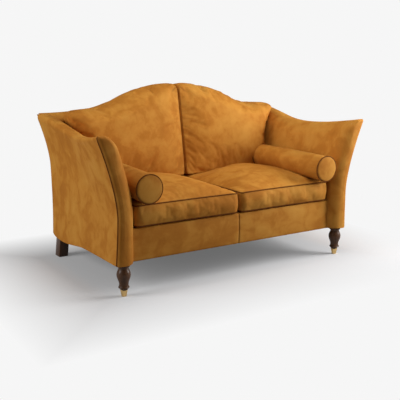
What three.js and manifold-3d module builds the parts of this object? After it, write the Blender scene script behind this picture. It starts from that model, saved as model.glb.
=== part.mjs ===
// A two-seat camelback sofa with flared arms, loose cushions and two bolsters.
// Millimetres, +Z up, +X to the viewer's right, -Y to the front. The origin is on the floor
// below the middle of the whole. Right-hand pieces are modelled and mirrored to the left.

import * as THREE from "three";
import { mergeVertices } from "three/addons/utils/BufferGeometryUtils.js";
import Module from "manifold-3d";

const wasm = await Module();
wasm.setup();

// Overall sizes
const overallDepth = 924; // from the arm fronts to the back of the crest
const footHalfWidth = 721; // from the middle to the outside of an arm below its flare
const footSplay = 10; // how far the arm's outside stands out again at its foot
const frameHeight = 158; // from the floor to the underside of the seat frame
const crestHeight = 916; // top of the back's frame at the middle of the hump
const wingHeight = 824; // top of the back where it meets the arms

// Arm outline seen from the side
const armFrontHeight = 785;
const armDipHeight = 744;
const armDipFromFront = 400;
const dipFrontPower = 1.7;
const armWingFromFront = 905; // from here on the arm's top is as high as the wing
const frontLean = 22; // how far the arm's front leans forward between foot and top
const leanMiddleShares = [0.2, 0.8]; // stretch of the arm's length that takes up the leans

// Arm flare seen from the front, easing towards the back
const armFlare = 107;
const flareStart = 390;
const rearFlare = 66;
const rearFlareStart = 540;
const flarePower = 1.55;
const fadeStart = 110;
const fadeEnd = 570;

// Arm section
const armThickness = 99;
const armRollWidth = 55;
const armRollDrop = 75;
const armEdgeRadius = 15;
const armPad = 25;
const armTopPad = 22;
const nosePad = 20;
const noseSwellDepth = 10;
const noseInnerRadius = 28;
const noseOuterRadius = 45;
const noseTopRadius = 18;
const armPanelThickness = 12;
const rearCornerRadius = 30;
const rearTopRadius = 24;

// Lower edge of an outside arm panel: distance from the arm front as a share of the arm's
// length, and height above the floor as a share of the frame's height
const armSkirtShares = [
  [0, 1],
  [0.36, 1],
  [0.5, 0.985],
  [0.6, 0.925],
  [0.71, 0.855],
  [0.82, 0.82],
  [0.92, 0.85],
  [1, 0.95],
];

// Back: its outside leans a little and its inside leans more
const backRake = THREE.MathUtils.degToRad(3.6);
const insideRake = THREE.MathUtils.degToRad(9.7);
const crestThickness = 83;
const crestPad = 22;
const backRollWidth = 45;
const backRollDrop = 60;
const backEdgeRadius = 15;
const backPanelThickness = 10;

// Camel's hump: distance from the middle as a share of the half width, and rise as a share of
// the hump's height above the wings
const humpShares = [
  [0, 1],
  [0.125, 0.986],
  [0.212, 0.925],
  [0.302, 0.81],
  [0.386, 0.657],
  [0.463, 0.475],
  [0.538, 0.275],
  [0.623, 0.125],
  [0.712, 0.06],
  [0.806, 0.02],
  [1, 0],
];

// Timber
const postThickness = 38;
const railThickness = 28;
const seatRailHeight = 129.5;
const sideRailThickness = 38;
const armRailDepth = 28;
const armLowerRailHeight = 40;
const armRailEase = 0.8; // arm rails clear of the inside pad
const armLowerRailLift = 57; // above the seat rails
const crestRailEndDepth = 70;
const humpFollowShare = 0.6;
const lowerBackRailHeight = 50;
const lowerBackRailLift = 57;
const uprightWidth = 60;
const braceWidth = 40;
const braceHeight = 60;
const braceLift = 17;
const blockLeg = 80;
const blockHeight = 60;
const blockLift = 12;

// Suspension
const springCount = 8;
const springPitch = 150;
const springWire = 3.8;
const springHalfWidth = 23;
const springLoops = 8;
const springBendLength = 24; // length of a bend along the spring
const springTail = 14; // straight end that lies on the rail
const webWidth = 60;
const webThickness = 2.2;
const webPlaceShares = [0.23, 0.66]; // of the distance from the middle to a back post
const webEndInset = 12;

// Seat upholstery
const borderThickness = 12;
const borderRadius = 6;
const borderDrop = 1.5; // how far the border stays below the deck
const deckThickness = 32.6;
const dustCoverThickness = 1.5;

// Loose cushions
const cushionOverhang = 15; // seat cushion in front of the border
const cushionSideGap = 6;
const cushionMiddleGap = 1;
const cushionRearGap = 1;
const seatSeamLift = 14; // lower seam above the deck
const seatBoxing = 95;
const seatCrown = 68;
const seatBellyRadius = 60; // width over which the underside curves down to the deck
const boxingBulge = 4;
const seatDrawIn = 3; // how far the seams draw in between the corners
const cornerEaseShare = 0.02;
const restRise = 18; // the back cushions stand this far above the seat cushions' top seam
const restEase = 112; // length over which the crown falls to the back cushion's foot
const backCushionThickness = 166;
const backCushionCrown = 45;
const backCushionHeight = 977; // highest line of its hump
const backCushionEndHeight = 848; // where the same line would reach the wings
const ridgeShare = 0.25; // place of that line in the cushion's thickness, from its front
const ridgeFrontFall = 12; // how far the top falls from it to the front
const ridgeRearFall = 50;
const sideFallShare = 0.4; // of the same falls, round the cushion's outer side
const crownPower = 0.75;

// Bolsters
const bolsterRadius = 71;
const bolsterSwell = 4;
const bolsterEndDome = 7;
const bolsterEndRadius = 8;
const bolsterFrontSetBack = 7; // from the arm fronts
const bolsterToBack = 8;
const bolsterSideGap = 6;
const bolsterRise = 8; // its underside above the seat cushion's top seam, at the front
const bolsterRearLift = 11; // how much higher its rear end lies

// Front legs, turned, with a brass cup
const legInset = 38; // leg axis from the outside of the arm
const legSetBack = 61; // leg axis from the arm fronts
const collarRadius = 31;
const collarHeight = 11;
const throatRadius = 25;
const throatHeight = 5;
const vaseRadius = 34.5;
const vaseBelow = 50; // widest part below the top of the leg
const neckRadius = 22.5;
const neckAbove = 62; // narrowest part above the floor
const ringRadius = 27;
const ringAbove = 46;
const ringHalfHeight = 8;
const cupHeight = 33;
const cupTopRadius = 18;
const cupFootRadius = 12.5;
const cupWall = 1.6;
const cupFloor = 3;

// Rear legs, square and raked
const rearLegWidth = 54;
const rearLegDepth = 62;
const rearLegInset = 32; // outer face from the outside of the arm
const rearLegRake = 40; // how far the foot stands behind the top
const rearLegChamfer = 4;
const rearLegInFromBack = 0.5; // top of the leg in front of the outside back

// Leg bolts
const boltRadius = 4;
const boltUp = 42;
const boltDown = 34;
const boltClearance = 0.4;

// Piping on the arm fronts
const pipingRadius = 4.5;
const pipingSink = 2.5; // how deep the cord lies behind the panel's front edge

// Fits and mesh fineness
const seat = 0.3; // clearance between touching pieces
const overrun = 20; // how far a cutting shape passes the piece it cuts
const weldDistance = 0.001;
const flareSteps = 7;
const alongSteps = 10;
const noseStationShares = [0, 0.12, 0.4, 1]; // places of the arm's first rings in its fullness
const crestSteps = 26;
const roundSteps = 4;
const turnedSides = 20;

// Derived planes
const frontY = -overallDepth / 2;
const backY = overallDepth / 2;
const seatHalfWidth = footHalfWidth - armThickness;
const railBottom = frameHeight + seat;
const railTop = railBottom + seatRailHeight;
const deckBottom = railTop + seat + springWire + seat;
const deckTop = deckBottom + deckThickness;
const borderBackY = frontY + frontLean + nosePad + seat + postThickness;
const borderFaceY = borderBackY - borderThickness;
const cushionFrontY = borderFaceY - cushionOverhang;
const lowerSeam = deckTop + seat + seatSeamLift;
const upperSeam = lowerSeam + seatBoxing;
const backRest = upperSeam + restRise;
const timberBack = backY - backPanelThickness - seat;
const timberFront = timberBack - railThickness;

// y of the outside back and of the inside back at a height
function outsideBackY(height) {
  return backY - (crestHeight - height) * Math.tan(backRake);
}

function insideBackY(height) {
  return backY - crestThickness - (crestHeight - height) * Math.tan(insideRake);
}

// y of the arm's foremost line at a height
function noseY(height) {
  const share = (armFrontHeight - height) / (armFrontHeight - frameHeight);
  return frontY + frontLean * share;
}

const armLength = outsideBackY(armFrontHeight) - noseY(armFrontHeight);

// A smooth curve through pairs of shares, flat at both ends
function throughShares(shares, at) {
  const last = shares.length - 1;
  const k = Math.max(
    0,
    shares.slice(0, last).findLastIndex(([place]) => place <= at),
  );
  const [x0, y0] = shares[k];
  const [x1, y1] = shares[k + 1];
  const before = shares[k - 1] ?? [2 * x0 - x1, y1];
  const after = shares[k + 2] ?? [2 * x1 - x0, y0];
  const slope0 = (y1 - before[1]) / (x1 - before[0]);
  const slope1 = (after[1] - y0) / (after[0] - x0);
  const span = x1 - x0;
  const t = THREE.MathUtils.clamp((at - x0) / span, 0, 1);
  return (
    y0 * (1 + 2 * t) * (1 - t) ** 2 +
    slope0 * span * t * (1 - t) ** 2 +
    y1 * t * t * (3 - 2 * t) +
    slope1 * span * t * t * (t - 1)
  );
}

// Top of the back across the sofa
const wingX = footHalfWidth + rearFlare;
const backTop = Math.max(crestHeight, wingHeight);

function humpAt(x, low, high) {
  const share = Math.min(1, Math.abs(x) / wingX);
  return THREE.MathUtils.lerp(low, high, throughShares(humpShares, share));
}

const crestAt = (x) => humpAt(x, wingHeight, crestHeight);

// Places across the back out to an end, the same for every piece that follows the crest
function crestPlaces(end) {
  const inner = divide(-wingX, wingX, crestSteps).filter((x) => Math.abs(x) < end);
  return [-end, ...inner, end];
}

// Arm surfaces, by the distance along the arm from its front and by height
function flareAt(along, height) {
  const faded = THREE.MathUtils.smoothstep(along, fadeStart, fadeEnd);
  const start = THREE.MathUtils.lerp(flareStart, rearFlareStart, faded);
  const top = THREE.MathUtils.lerp(armFrontHeight, wingHeight, faded);
  const rise = Math.max(0, height - start) / (top - start);
  return THREE.MathUtils.lerp(armFlare, rearFlare, faded) * rise ** flarePower;
}

function armOuterX(along, height) {
  const below = Math.max(0, flareStart - height) / (flareStart - frameHeight);
  return footHalfWidth + footSplay * below + flareAt(along, height);
}

function armInnerX(along, height) {
  return footHalfWidth + flareAt(along, height) - armThickness;
}

function armTopAt(along) {
  const fromDip = along - armDipFromFront;
  if (fromDip < 0) {
    const share = -fromDip / armDipFromFront;
    return armDipHeight + (armFrontHeight - armDipHeight) * share ** dipFrontPower;
  }
  const risen = THREE.MathUtils.smoothstep(along, armDipFromFront, armWingFromFront);
  return THREE.MathUtils.lerp(armDipHeight, wingHeight, risen);
}

// The arm's ends keep their true thickness and its middle takes up the two leans
function armY(along, height) {
  const spare = outsideBackY(height) - noseY(height) - armLength;
  const [start, end] = leanMiddleShares;
  const middle = (along / armLength - start) / (end - start);
  return noseY(height) + along + spare * THREE.MathUtils.clamp(middle, 0, 1);
}

// Height cut off by a rounded edge at a distance from it
function roundCut(radius, distance, fullCut = radius) {
  if (distance >= radius) return 0;
  const share = 1 - Math.max(0, distance) / radius;
  return fullCut * (1 - Math.sqrt(1 - share * share));
}

function divide(from, to, steps) {
  return Array.from({ length: steps + 1 }, (_, k) => from + ((to - from) * k) / steps);
}

function flareHeights(low, top, steps) {
  return low < flareStart && top > flareStart
    ? [low, ...divide(flareStart, top, steps)]
    : divide(low, top, steps);
}

// Geometry and solid helpers
function facingOut(geometry) {
  const p = geometry.attributes.position;
  const index = geometry.index.array;
  const [a, b, c] = [0, 1, 2].map(() => new THREE.Vector3());
  let volume = 0;
  for (let i = 0; i < index.length; i += 3) {
    a.fromBufferAttribute(p, index[i]);
    b.fromBufferAttribute(p, index[i + 1]);
    c.fromBufferAttribute(p, index[i + 2]);
    volume += a.dot(b.cross(c));
  }
  if (volume > 0) return geometry;
  for (let i = 0; i < index.length; i += 3) {
    [index[i + 1], index[i + 2]] = [index[i + 2], index[i + 1]];
  }
  return geometry;
}

// A closed body through rings with equal counts of points; flat puts a ring on its end plane
function loft(rings, flat) {
  const count = rings[0].length;
  const index = [];
  for (let r = 0; r < rings.length - 1; r++) {
    for (let i = 0; i < count; i++) {
      const j = (i + 1) % count;
      const [a, b] = [r * count + i, r * count + j];
      const [c, d] = [a + count, b + count];
      index.push(a, b, c, b, d, c);
    }
  }
  const areaOf = (ring) => THREE.ShapeUtils.area(ring);
  const onPlane = (ring) => ring.map((point) => new THREE.Vector2(...flat(point)));
  const turned = areaOf(onPlane(rings[0])) < 0;
  for (const [end, first] of [[0, true], [rings.length - 1, false]]) {
    const points = onPlane(rings[end]);
    const faces = THREE.ShapeUtils.triangulateShape(points, []);
    const area = faces.reduce((sum, face) => sum + areaOf(face.map((k) => points[k])), 0);
    const sameAsRing = area > 0 !== turned;
    for (const corners of faces) {
      const face = corners.map((k) => end * count + k);
      index.push(...(first === sameAsRing ? face.reverse() : face));
    }
  }
  const geometry = new THREE.BufferGeometry();
  geometry.setAttribute("position", new THREE.Float32BufferAttribute(rings.flat(2), 3));
  geometry.setIndex(index);
  return facingOut(geometry);
}

function solidOf(geometry) {
  const bare = new THREE.BufferGeometry();
  bare.setAttribute("position", geometry.getAttribute("position"));
  bare.setIndex(geometry.index);
  const merged = mergeVertices(bare, weldDistance);
  return new wasm.Manifold(
    new wasm.Mesh({
      numProp: 3,
      vertProperties: merged.attributes.position.array,
      triVerts: new Uint32Array(merged.index.array),
    }),
  );
}

function geometryOf(solid) {
  const mesh = solid.getMesh();
  const geometry = new THREE.BufferGeometry();
  const points = [];
  for (let k = 0; k < mesh.numVert; k++) {
    const start = k * mesh.numProp;
    points.push(...mesh.vertProperties.subarray(start, start + 3));
  }
  geometry.setAttribute("position", new THREE.Float32BufferAttribute(points, 3));
  geometry.setIndex([...mesh.triVerts]);
  return geometry;
}

function cut(geometry, ...tools) {
  let solid = solidOf(geometry);
  for (const tool of tools) solid = solid.subtract(solidOf(tool));
  return geometryOf(solid);
}

function mirrored(geometry) {
  const copy = geometry.clone().scale(-1, 1, 1);
  copy.setIndex([...geometry.index.array]);
  return facingOut(copy);
}

function box(x0, x1, y0, y1, z0, z1) {
  const geometry = new THREE.BoxGeometry(x1 - x0, y1 - y0, z1 - z0);
  return geometry.translate((x0 + x1) / 2, (y0 + y1) / 2, (z0 + z1) / 2);
}

function extruded(outline, depth) {
  const shape = new THREE.Shape(outline.map(([a, b]) => new THREE.Vector2(a, b)));
  const geometry = new THREE.ExtrudeGeometry(shape, { depth, bevelEnabled: false });
  return mergeVertices(geometry.deleteAttribute("normal").deleteAttribute("uv"), weldDistance);
}

// A board with its outline seen from the front
function frontBoard(outline, y0, y1) {
  return extruded(outline, y1 - y0).rotateX(Math.PI / 2).translate(0, y1, 0);
}

// A bar with its outline seen from the side, given as y and height
function sideBar(outline, x0, x1) {
  const turn = new THREE.Matrix4().makeBasis(
    new THREE.Vector3(0, 1, 0),
    new THREE.Vector3(0, 0, 1),
    new THREE.Vector3(1, 0, 0),
  );
  return extruded(outline, x1 - x0).applyMatrix4(turn).translate(x0, 0, 0);
}

// Leans a piece, drawn in its place at the crest's height, back with the outside back
function leanBack(geometry) {
  const slope = Math.tan(backRake);
  geometry.applyMatrix4(new THREE.Matrix4().makeShear(0, 0, 0, 0, 0, slope));
  return geometry.translate(0, -slope * crestHeight, 0);
}

function turned(profile) {
  const points = profile.map(([radius, height]) => new THREE.Vector2(radius, height));
  return new THREE.LatheGeometry(points, turnedSides).rotateX(Math.PI / 2);
}

function rod(radius, low, high) {
  const geometry = new THREE.CylinderGeometry(radius, radius, high - low, turnedSides / 2);
  return geometry.rotateX(Math.PI / 2).translate(0, 0, (low + high) / 2);
}

// A ring of an arm piece: inner and outer give x, low and top give heights; the inner side
// may lie further forward than the outer one
function armRing(along, { inner, outer, low, top, steps = flareSteps }, innerAlong = along) {
  const heights = flareHeights(low(along), top(along), steps);
  const up = heights.map((h) => [inner(innerAlong, h), armY(innerAlong, h), h]);
  const down = heights.toReversed().map((h) => [outer(along, h), armY(along, h), h]);
  return [...up, ...down];
}

const seenFromFront = ([x, , z]) => [x, z];
const seenFromSide = ([, y, z]) => [y, z];
const seenFromAbove = ([x, y]) => [x, y];

function armPiece(stations, shape) {
  return loft(
    stations.map((along) => armRing(along, shape)),
    seenFromFront,
  );
}

// A ring with a soft roll over its inner top edge and a small round on its outer one
function rolledRing({ place, low, top, roll, drop, edge, edgeDrop, steps }) {
  const ring = flareHeights(low, top - drop, steps).map((h) => place(0, h));
  for (let k = 1; k <= roundSteps + 1; k++) {
    const angle = (k / (roundSteps + 1)) * (Math.PI / 2);
    ring.push(place(roll * (1 - Math.cos(angle)), top - drop * (1 - Math.sin(angle))));
  }
  for (let k = roundSteps; k >= 0; k--) {
    const angle = (k / roundSteps) * (Math.PI / 2);
    ring.push(place(1 - edge * (1 - Math.cos(angle)), top - edgeDrop * (1 - Math.sin(angle))));
  }
  const outer = flareHeights(low, top - edgeDrop, steps).toReversed();
  ring.push(...outer.slice(1).map((h) => place(1, h)));
  return ring;
}

// Rounded rear corner of an arm, in steps from its side round to the back
const cornerStart = armLength - rearCornerRadius;
const cornerAngles = divide(0, Math.PI / 2, 4);
const seamHalfAngle = seat / 2 / (rearCornerRadius - armPanelThickness);

// The whole upholstered form of the right arm, grown on its inner side
function armForm(grown) {
  const rear = armLength;
  const stations = [
    ...noseStationShares.map((share) => noseSwellDepth * share),
    noseTopRadius,
    noseInnerRadius,
    nosePad + postThickness,
    ...divide(fadeStart, fadeEnd, 6),
    ...divide(fadeEnd, cornerStart, 3).slice(1),
    ...cornerAngles.slice(1).map((angle) => cornerStart + rearCornerRadius * Math.sin(angle)),
  ];
  const rings = stations.map((along) => {
    const inCut = roundCut(noseInnerRadius, along);
    const outCut =
      roundCut(noseSwellDepth, along, noseOuterRadius) + roundCut(rearCornerRadius, rear - along);
    const topCut = roundCut(noseTopRadius, along) + roundCut(rearTopRadius, rear - along);
    const place = (share, height) => [
      THREE.MathUtils.lerp(
        armInnerX(along, height) + inCut - grown,
        armOuterX(along, height) - outCut,
        share,
      ),
      armY(along, height),
      height,
    ];
    return rolledRing({
      place,
      low: frameHeight,
      top: armTopAt(along) - topCut + grown,
      roll: armRollWidth / armThickness,
      drop: armRollDrop,
      edge: armEdgeRadius / armThickness,
      edgeDrop: armEdgeRadius,
      steps: flareSteps,
    });
  });
  return loft(rings, seenFromFront);
}

const frontPostStart = nosePad + seat;
const frontPostEnd = frontPostStart + postThickness;
const backPostEnd = armLength - backPanelThickness - seat;
const backPostStart = backPostEnd - postThickness;
const betweenPosts = divide(frontPostEnd + seat, backPostStart - seat, alongSteps);

const cavityInner = (along, h) => armInnerX(along, h) + armPad;
const cavityOuter = (along, h) => armOuterX(along, h) - armPanelThickness;
const timberInner = (along, h) => cavityInner(along, h) + seat;
const timberOuter = (along, h) => cavityOuter(along, h) - seat;
const cavityTop = (along) => armTopAt(along) - armTopPad;
const timberTop = (along) => cavityTop(along) - seat;

// Upholstery of the arm: a padded skin over the inside, the top and the front, hollow for the
// timber and open to the outside, where a panel closes it
function armCover() {
  const passed = [nosePad, ...betweenPosts, armLength + overrun];
  const cavity = armPiece(passed, {
    inner: cavityInner,
    outer: (along, h) => armOuterX(along, h) + overrun,
    low: () => frameHeight - overrun,
    top: cavityTop,
  });
  const panelSpace = armPiece([noseSwellDepth, ...passed], {
    inner: (along, h) => cavityOuter(along, h) - seat,
    outer: (along, h) => armOuterX(along, h) + overrun,
    low: () => frameHeight - overrun,
    top: cavityTop,
  });
  const underDeck = box(
    seatHalfWidth - overrun,
    seatHalfWidth + armPad + seat,
    borderBackY,
    backY + overrun,
    frameHeight - overrun,
    deckBottom,
  );
  return cut(armForm(0), cavity, panelSpace, underDeck, pipingSpace(), backTimberSpace());
}

// Outside arm panel, turning into the rounded rear corner as far as the seam in its middle
function armPanel() {
  const innerRound = rearCornerRadius - armPanelThickness;
  const low = (along) => railBottom * throughShares(armSkirtShares, along / armLength);
  const sheet = { inner: cavityOuter, outer: armOuterX, low, top: timberTop };
  const straight = [noseSwellDepth + seat, ...betweenPosts, cornerStart];
  const rings = straight.map((along) => armRing(along, sheet));
  for (const angle of [cornerAngles[1], Math.PI / 4 - seamHalfAngle]) {
    const turnedBy = (radius) => rearCornerRadius - radius * Math.cos(angle);
    const corner = {
      ...sheet,
      inner: (along, h) => armOuterX(along, h) - turnedBy(innerRound),
      outer: (along, h) => armOuterX(along, h) - turnedBy(rearCornerRadius),
    };
    const outerAlong = cornerStart + rearCornerRadius * Math.sin(angle);
    rings.push(armRing(outerAlong, corner, cornerStart + innerRound * Math.sin(angle)));
  }
  return cut(loft(rings, seenFromFront), pipingSpace());
}

// Piping in the seam between the arm front and the outside panel
function pipingLine() {
  const along = noseSwellDepth + pipingSink;
  const heights = flareHeights(frameHeight + pipingRadius, cavityTop(along), flareSteps);
  return new THREE.CatmullRomCurve3(
    heights.map(
      (h) => new THREE.Vector3(armOuterX(along, h) - pipingRadius, armY(along, h), h),
    ),
  );
}

function tube(line, radius, sides, steps) {
  const section = divide(0, 2 * Math.PI, sides).slice(1);
  const shape = new THREE.Shape(
    section.map((angle) => new THREE.Vector2(radius * Math.cos(angle), radius * Math.sin(angle))),
  );
  const geometry = new THREE.ExtrudeGeometry(shape, { steps, extrudePath: line });
  return mergeVertices(geometry.deleteAttribute("normal").deleteAttribute("uv"), weldDistance);
}

function pipingSpace() {
  return tube(pipingLine(), pipingRadius + seat, 8, 2 * flareSteps);
}

function armPiping() {
  return tube(pipingLine(), pipingRadius, 8, 2 * flareSteps);
}

// Timber inside the arm; a back post is chamfered behind the rounded corner
function frontArmPost() {
  return armPiece([frontPostStart, frontPostEnd], {
    inner: timberInner,
    outer: timberOuter,
    low: () => railBottom,
    top: timberTop,
  });
}

function backPost() {
  const chamfer = rearCornerRadius - armPanelThickness - seat;
  const chamferedBy = (along) =>
    chamfer * THREE.MathUtils.clamp((along - cornerStart) / (backPostEnd - cornerStart), 0, 1);
  return armPiece([backPostStart, cornerStart, backPostEnd], {
    inner: timberInner,
    outer: (along, h) => timberOuter(along, h) - chamferedBy(along),
    low: () => railBottom,
    top: timberTop,
  });
}

const armRailInner = (along, h) => timberInner(along, h) + armRailEase;

function armTopRail() {
  return armPiece(betweenPosts, {
    inner: armRailInner,
    outer: timberOuter,
    low: (along) => timberTop(along) - armRailDepth,
    top: timberTop,
    steps: 1,
  });
}

function armLowerRail() {
  const low = railTop + armLowerRailLift;
  return armPiece(betweenPosts, {
    inner: armRailInner,
    outer: (along, h) => armRailInner(along, h) + railThickness,
    low: () => low,
    top: () => low + armLowerRailHeight,
    steps: 1,
  });
}

const sideRailInner = timberOuter(0, railBottom) - sideRailThickness;

function sideSeatRail() {
  return armPiece([betweenPosts.at(0), betweenPosts.at(-1)], {
    inner: () => sideRailInner,
    outer: timberOuter,
    low: () => railBottom,
    top: () => railTop,
    steps: 1,
  });
}

// Timber across the sofa
const frontRailY = borderBackY + seat;

function frontSeatRail() {
  const end = sideRailInner - seat;
  return box(-end, end, frontRailY, frontRailY + railThickness, railBottom, railTop);
}

// x of a rail's end against the inner face of a back post
function backRailEnd(height) {
  return timberInner(backPostStart, height) - seat;
}

// A board in the plane of the back timbers, with its outline seen from the front
function backBoard(outline) {
  return leanBack(frontBoard(outline, timberFront, timberBack));
}

function straightBackRail(low, top) {
  const [lowEnd, topEnd] = [backRailEnd(low), backRailEnd(top)];
  return backBoard([
    [-lowEnd, low],
    [lowEnd, low],
    [topEnd, top],
    [-topEnd, top],
  ]);
}

const crestRailTop = (x) => crestAt(x) - crestPad - seat;
const crestRailLow = (x) =>
  wingHeight - crestPad - crestRailEndDepth + (crestAt(x) - wingHeight) * humpFollowShare;

function crestRail() {
  const lowEnd = backRailEnd(crestRailLow(wingX));
  const topEnd = backRailEnd(crestRailTop(wingX));
  return backBoard([
    ...crestPlaces(lowEnd).map((x) => [x, crestRailLow(x)]),
    ...crestPlaces(topEnd).toReversed().map((x) => [x, crestRailTop(x)]),
  ]);
}

const lowerBackRailLow = railTop + lowerBackRailLift;
const lowerBackRailTop = lowerBackRailLow + lowerBackRailHeight;

function backUpright() {
  const half = uprightWidth / 2;
  const low = lowerBackRailTop + seat;
  const top = crestRailLow(half) - seat;
  return backBoard([
    [-half, low],
    [half, low],
    [half, top],
    [-half, top],
  ]);
}

// y of the front faces of the timbers in the back, at a height
function backTimberY(height) {
  return outsideBackY(height) - (backY - timberFront);
}

function seatBrace() {
  const start = frontRailY + railThickness + seat;
  const low = railBottom + braceLift;
  const top = low + braceHeight;
  const outline = [
    [start, low],
    [backTimberY(low) - seat, low],
    [backTimberY(top) - seat, top],
    [start, top],
  ];
  return sideBar(outline, -braceWidth / 2, braceWidth / 2);
}

// Glue blocks in the corners of the seat frame
const blockOuter = sideRailInner - seat;

function frontCornerBlock() {
  const y = frontRailY + railThickness + seat;
  const outline = [
    [blockOuter, y],
    [blockOuter, y + blockLeg],
    [blockOuter - blockLeg, y],
  ];
  return extruded(outline, blockHeight).translate(0, 0, railBottom + blockLift);
}

function rearCornerBlock() {
  const inner = backRailEnd(railBottom) - seat;
  const y = timberFront - seat;
  const outline = [
    [inner - blockLeg, y],
    [inner, y - blockLeg],
    [inner, y],
  ];
  return leanBack(extruded(outline, blockHeight).translate(0, 0, railBottom + blockLift));
}

// Zigzag spring lying over the front and rear rails
function zigzagSpring() {
  const start = frontRailY + railThickness / 2;
  const end = backTimberY(railTop) + railThickness / 2;
  const height = railTop + seat + springWire / 2;
  const turns = divide(start + springTail, end - springTail, 4 * springLoops);
  const line = [[0, start], [0, turns[0]]];
  for (let k = 1; k < turns.length; k += 2) {
    const x = k % 4 === 1 ? -springHalfWidth : springHalfWidth;
    line.push([x, turns[k] - springBendLength / 2], [x, turns[k] + springBendLength / 2]);
  }
  line.push([0, turns.at(-1)], [0, end]);
  const rings = line.map(([x, y], k) => {
    const [x0, y0] = line[Math.max(0, k - 1)];
    const [x1, y1] = line[Math.min(line.length - 1, k + 1)];
    const across = new THREE.Vector2(y1 - y0, x0 - x1).setLength(springWire / 2);
    return [
      [x + across.x, y + across.y, height],
      [x, y, height + springWire / 2],
      [x - across.x, y - across.y, height],
      [x, y, height - springWire / 2],
    ];
  });
  return loft(rings, seenFromFront);
}

// Back webbing in front of the rails
function backWeb(x) {
  const front = timberFront - seat - webThickness;
  const half = webWidth / 2;
  const top = Math.min(crestRailTop(x - half), crestRailTop(x + half)) - webEndInset;
  const low = lowerBackRailLow + webEndInset;
  return leanBack(box(x - half, x + half, front, front + webThickness, low, top));
}

// The space taken by the timbers and webbing of the back, and by everything behind them
function backTimberSpace() {
  const far = wingX + overrun;
  const outline = [
    [-far, deckBottom - overrun],
    [far, deckBottom - overrun],
    ...crestPlaces(far).toReversed().map((x) => [x, crestAt(x) - crestPad]),
  ];
  const front = timberFront - webThickness - 2 * seat;
  return leanBack(frontBoard(outline, front, backY + overrun));
}

// Inside back: a wedge-shaped pad on the webbing whose roll wraps over the crest rail
function insideBack() {
  const depthAt = (h) => outsideBackY(h) - insideBackY(h);
  const rings = crestPlaces(footHalfWidth).map((x) =>
    rolledRing({
      place: (share, h) => [x, insideBackY(h) + depthAt(h) * share, h],
      low: deckBottom,
      top: crestAt(x),
      roll: backRollWidth / crestThickness,
      drop: backRollDrop,
      edge: backEdgeRadius / crestThickness,
      edgeDrop: backEdgeRadius,
      steps: 1,
    }),
  );
  const armSpace = armForm(seat);
  return cut(loft(rings, seenFromSide), backTimberSpace(), armSpace, mirrored(armSpace));
}

// Outside back panel, turning into the rounded corners as far as their seams
function outsideBack() {
  const fromSide = [Math.PI / 4 + seamHalfAngle, ...cornerAngles.slice(3)];
  const heights = [...flareHeights(railBottom, timberTop(armLength), flareSteps), backTop];
  const rings = heights.map((h) => {
    const centre = armOuterX(armLength, h) - rearCornerRadius;
    const corner = (radius) =>
      fromSide.map((angle) => [
        centre + radius * Math.cos(angle),
        outsideBackY(h) - rearCornerRadius + radius * Math.sin(angle),
        h,
      ]);
    const toLeft = (points) => points.map(([x, y, z]) => [-x, y, z]);
    const outer = corner(rearCornerRadius);
    const inner = corner(rearCornerRadius - backPanelThickness);
    return [...outer, ...toLeft(outer).toReversed(), ...toLeft(inner), ...inner.toReversed()];
  });
  const far = armOuterX(armLength, backTop) + overrun;
  const outline = [
    [far, backTop + overrun],
    [-far, backTop + overrun],
    ...crestPlaces(far).map((x) => [x, crestRailTop(x)]),
  ];
  const aboveCrest = frontBoard(outline, frontY, backY + overrun);
  return cut(loft(rings, seenFromAbove), aboveCrest);
}

// Seat upholstery
function frontBorder() {
  const end = seatHalfWidth - seat;
  const top = deckTop - borderDrop;
  const outline = [
    [borderBackY, frameHeight],
    [borderBackY, top],
    ...divide(Math.PI / 2, Math.PI, roundSteps).map((angle) => [
      borderFaceY + borderRadius + borderRadius * Math.cos(angle),
      top - borderRadius + borderRadius * Math.sin(angle),
    ]),
    [borderFaceY, frameHeight],
  ];
  return sideBar(outline, -end, end);
}

function seatDeck() {
  const end = seatHalfWidth - seat;
  const outline = [
    [borderBackY + seat, deckBottom],
    [insideBackY(deckBottom) - seat, deckBottom],
    [insideBackY(deckTop) - seat, deckTop],
    [borderBackY + seat, deckTop],
  ];
  return sideBar(outline, -end, end);
}

function dustCover() {
  const end = seatHalfWidth - seat;
  const rear = backTimberY(frameHeight) + railThickness / 2;
  const low = frameHeight - dustCoverThickness;
  return box(-end, end, borderBackY + seat, rear, low, frameHeight);
}

// A soft block: a unit box with rounded corners whose points are placed by a function
function softBlock(across, deep, tall, place) {
  const geometry = new THREE.BoxGeometry(2, 2, 2, across, deep, tall);
  geometry.deleteAttribute("normal").deleteAttribute("uv");
  const p = geometry.attributes.position;
  for (let i = 0; i < p.count; i++) p.setXYZ(i, ...place(p.getX(i), p.getY(i), p.getZ(i)));
  return mergeVertices(geometry, weldDistance);
}

const dome = (t) => Math.max(0, 1 - t * t) ** crownPower;
const plateau = (t) => Math.max(0, 1 - t ** 12);

// Seat cushion: crowned in front of the back cushion and pressed flat below it
const backFootY = insideBackY(backRest) - seat - backCushionThickness;

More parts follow.
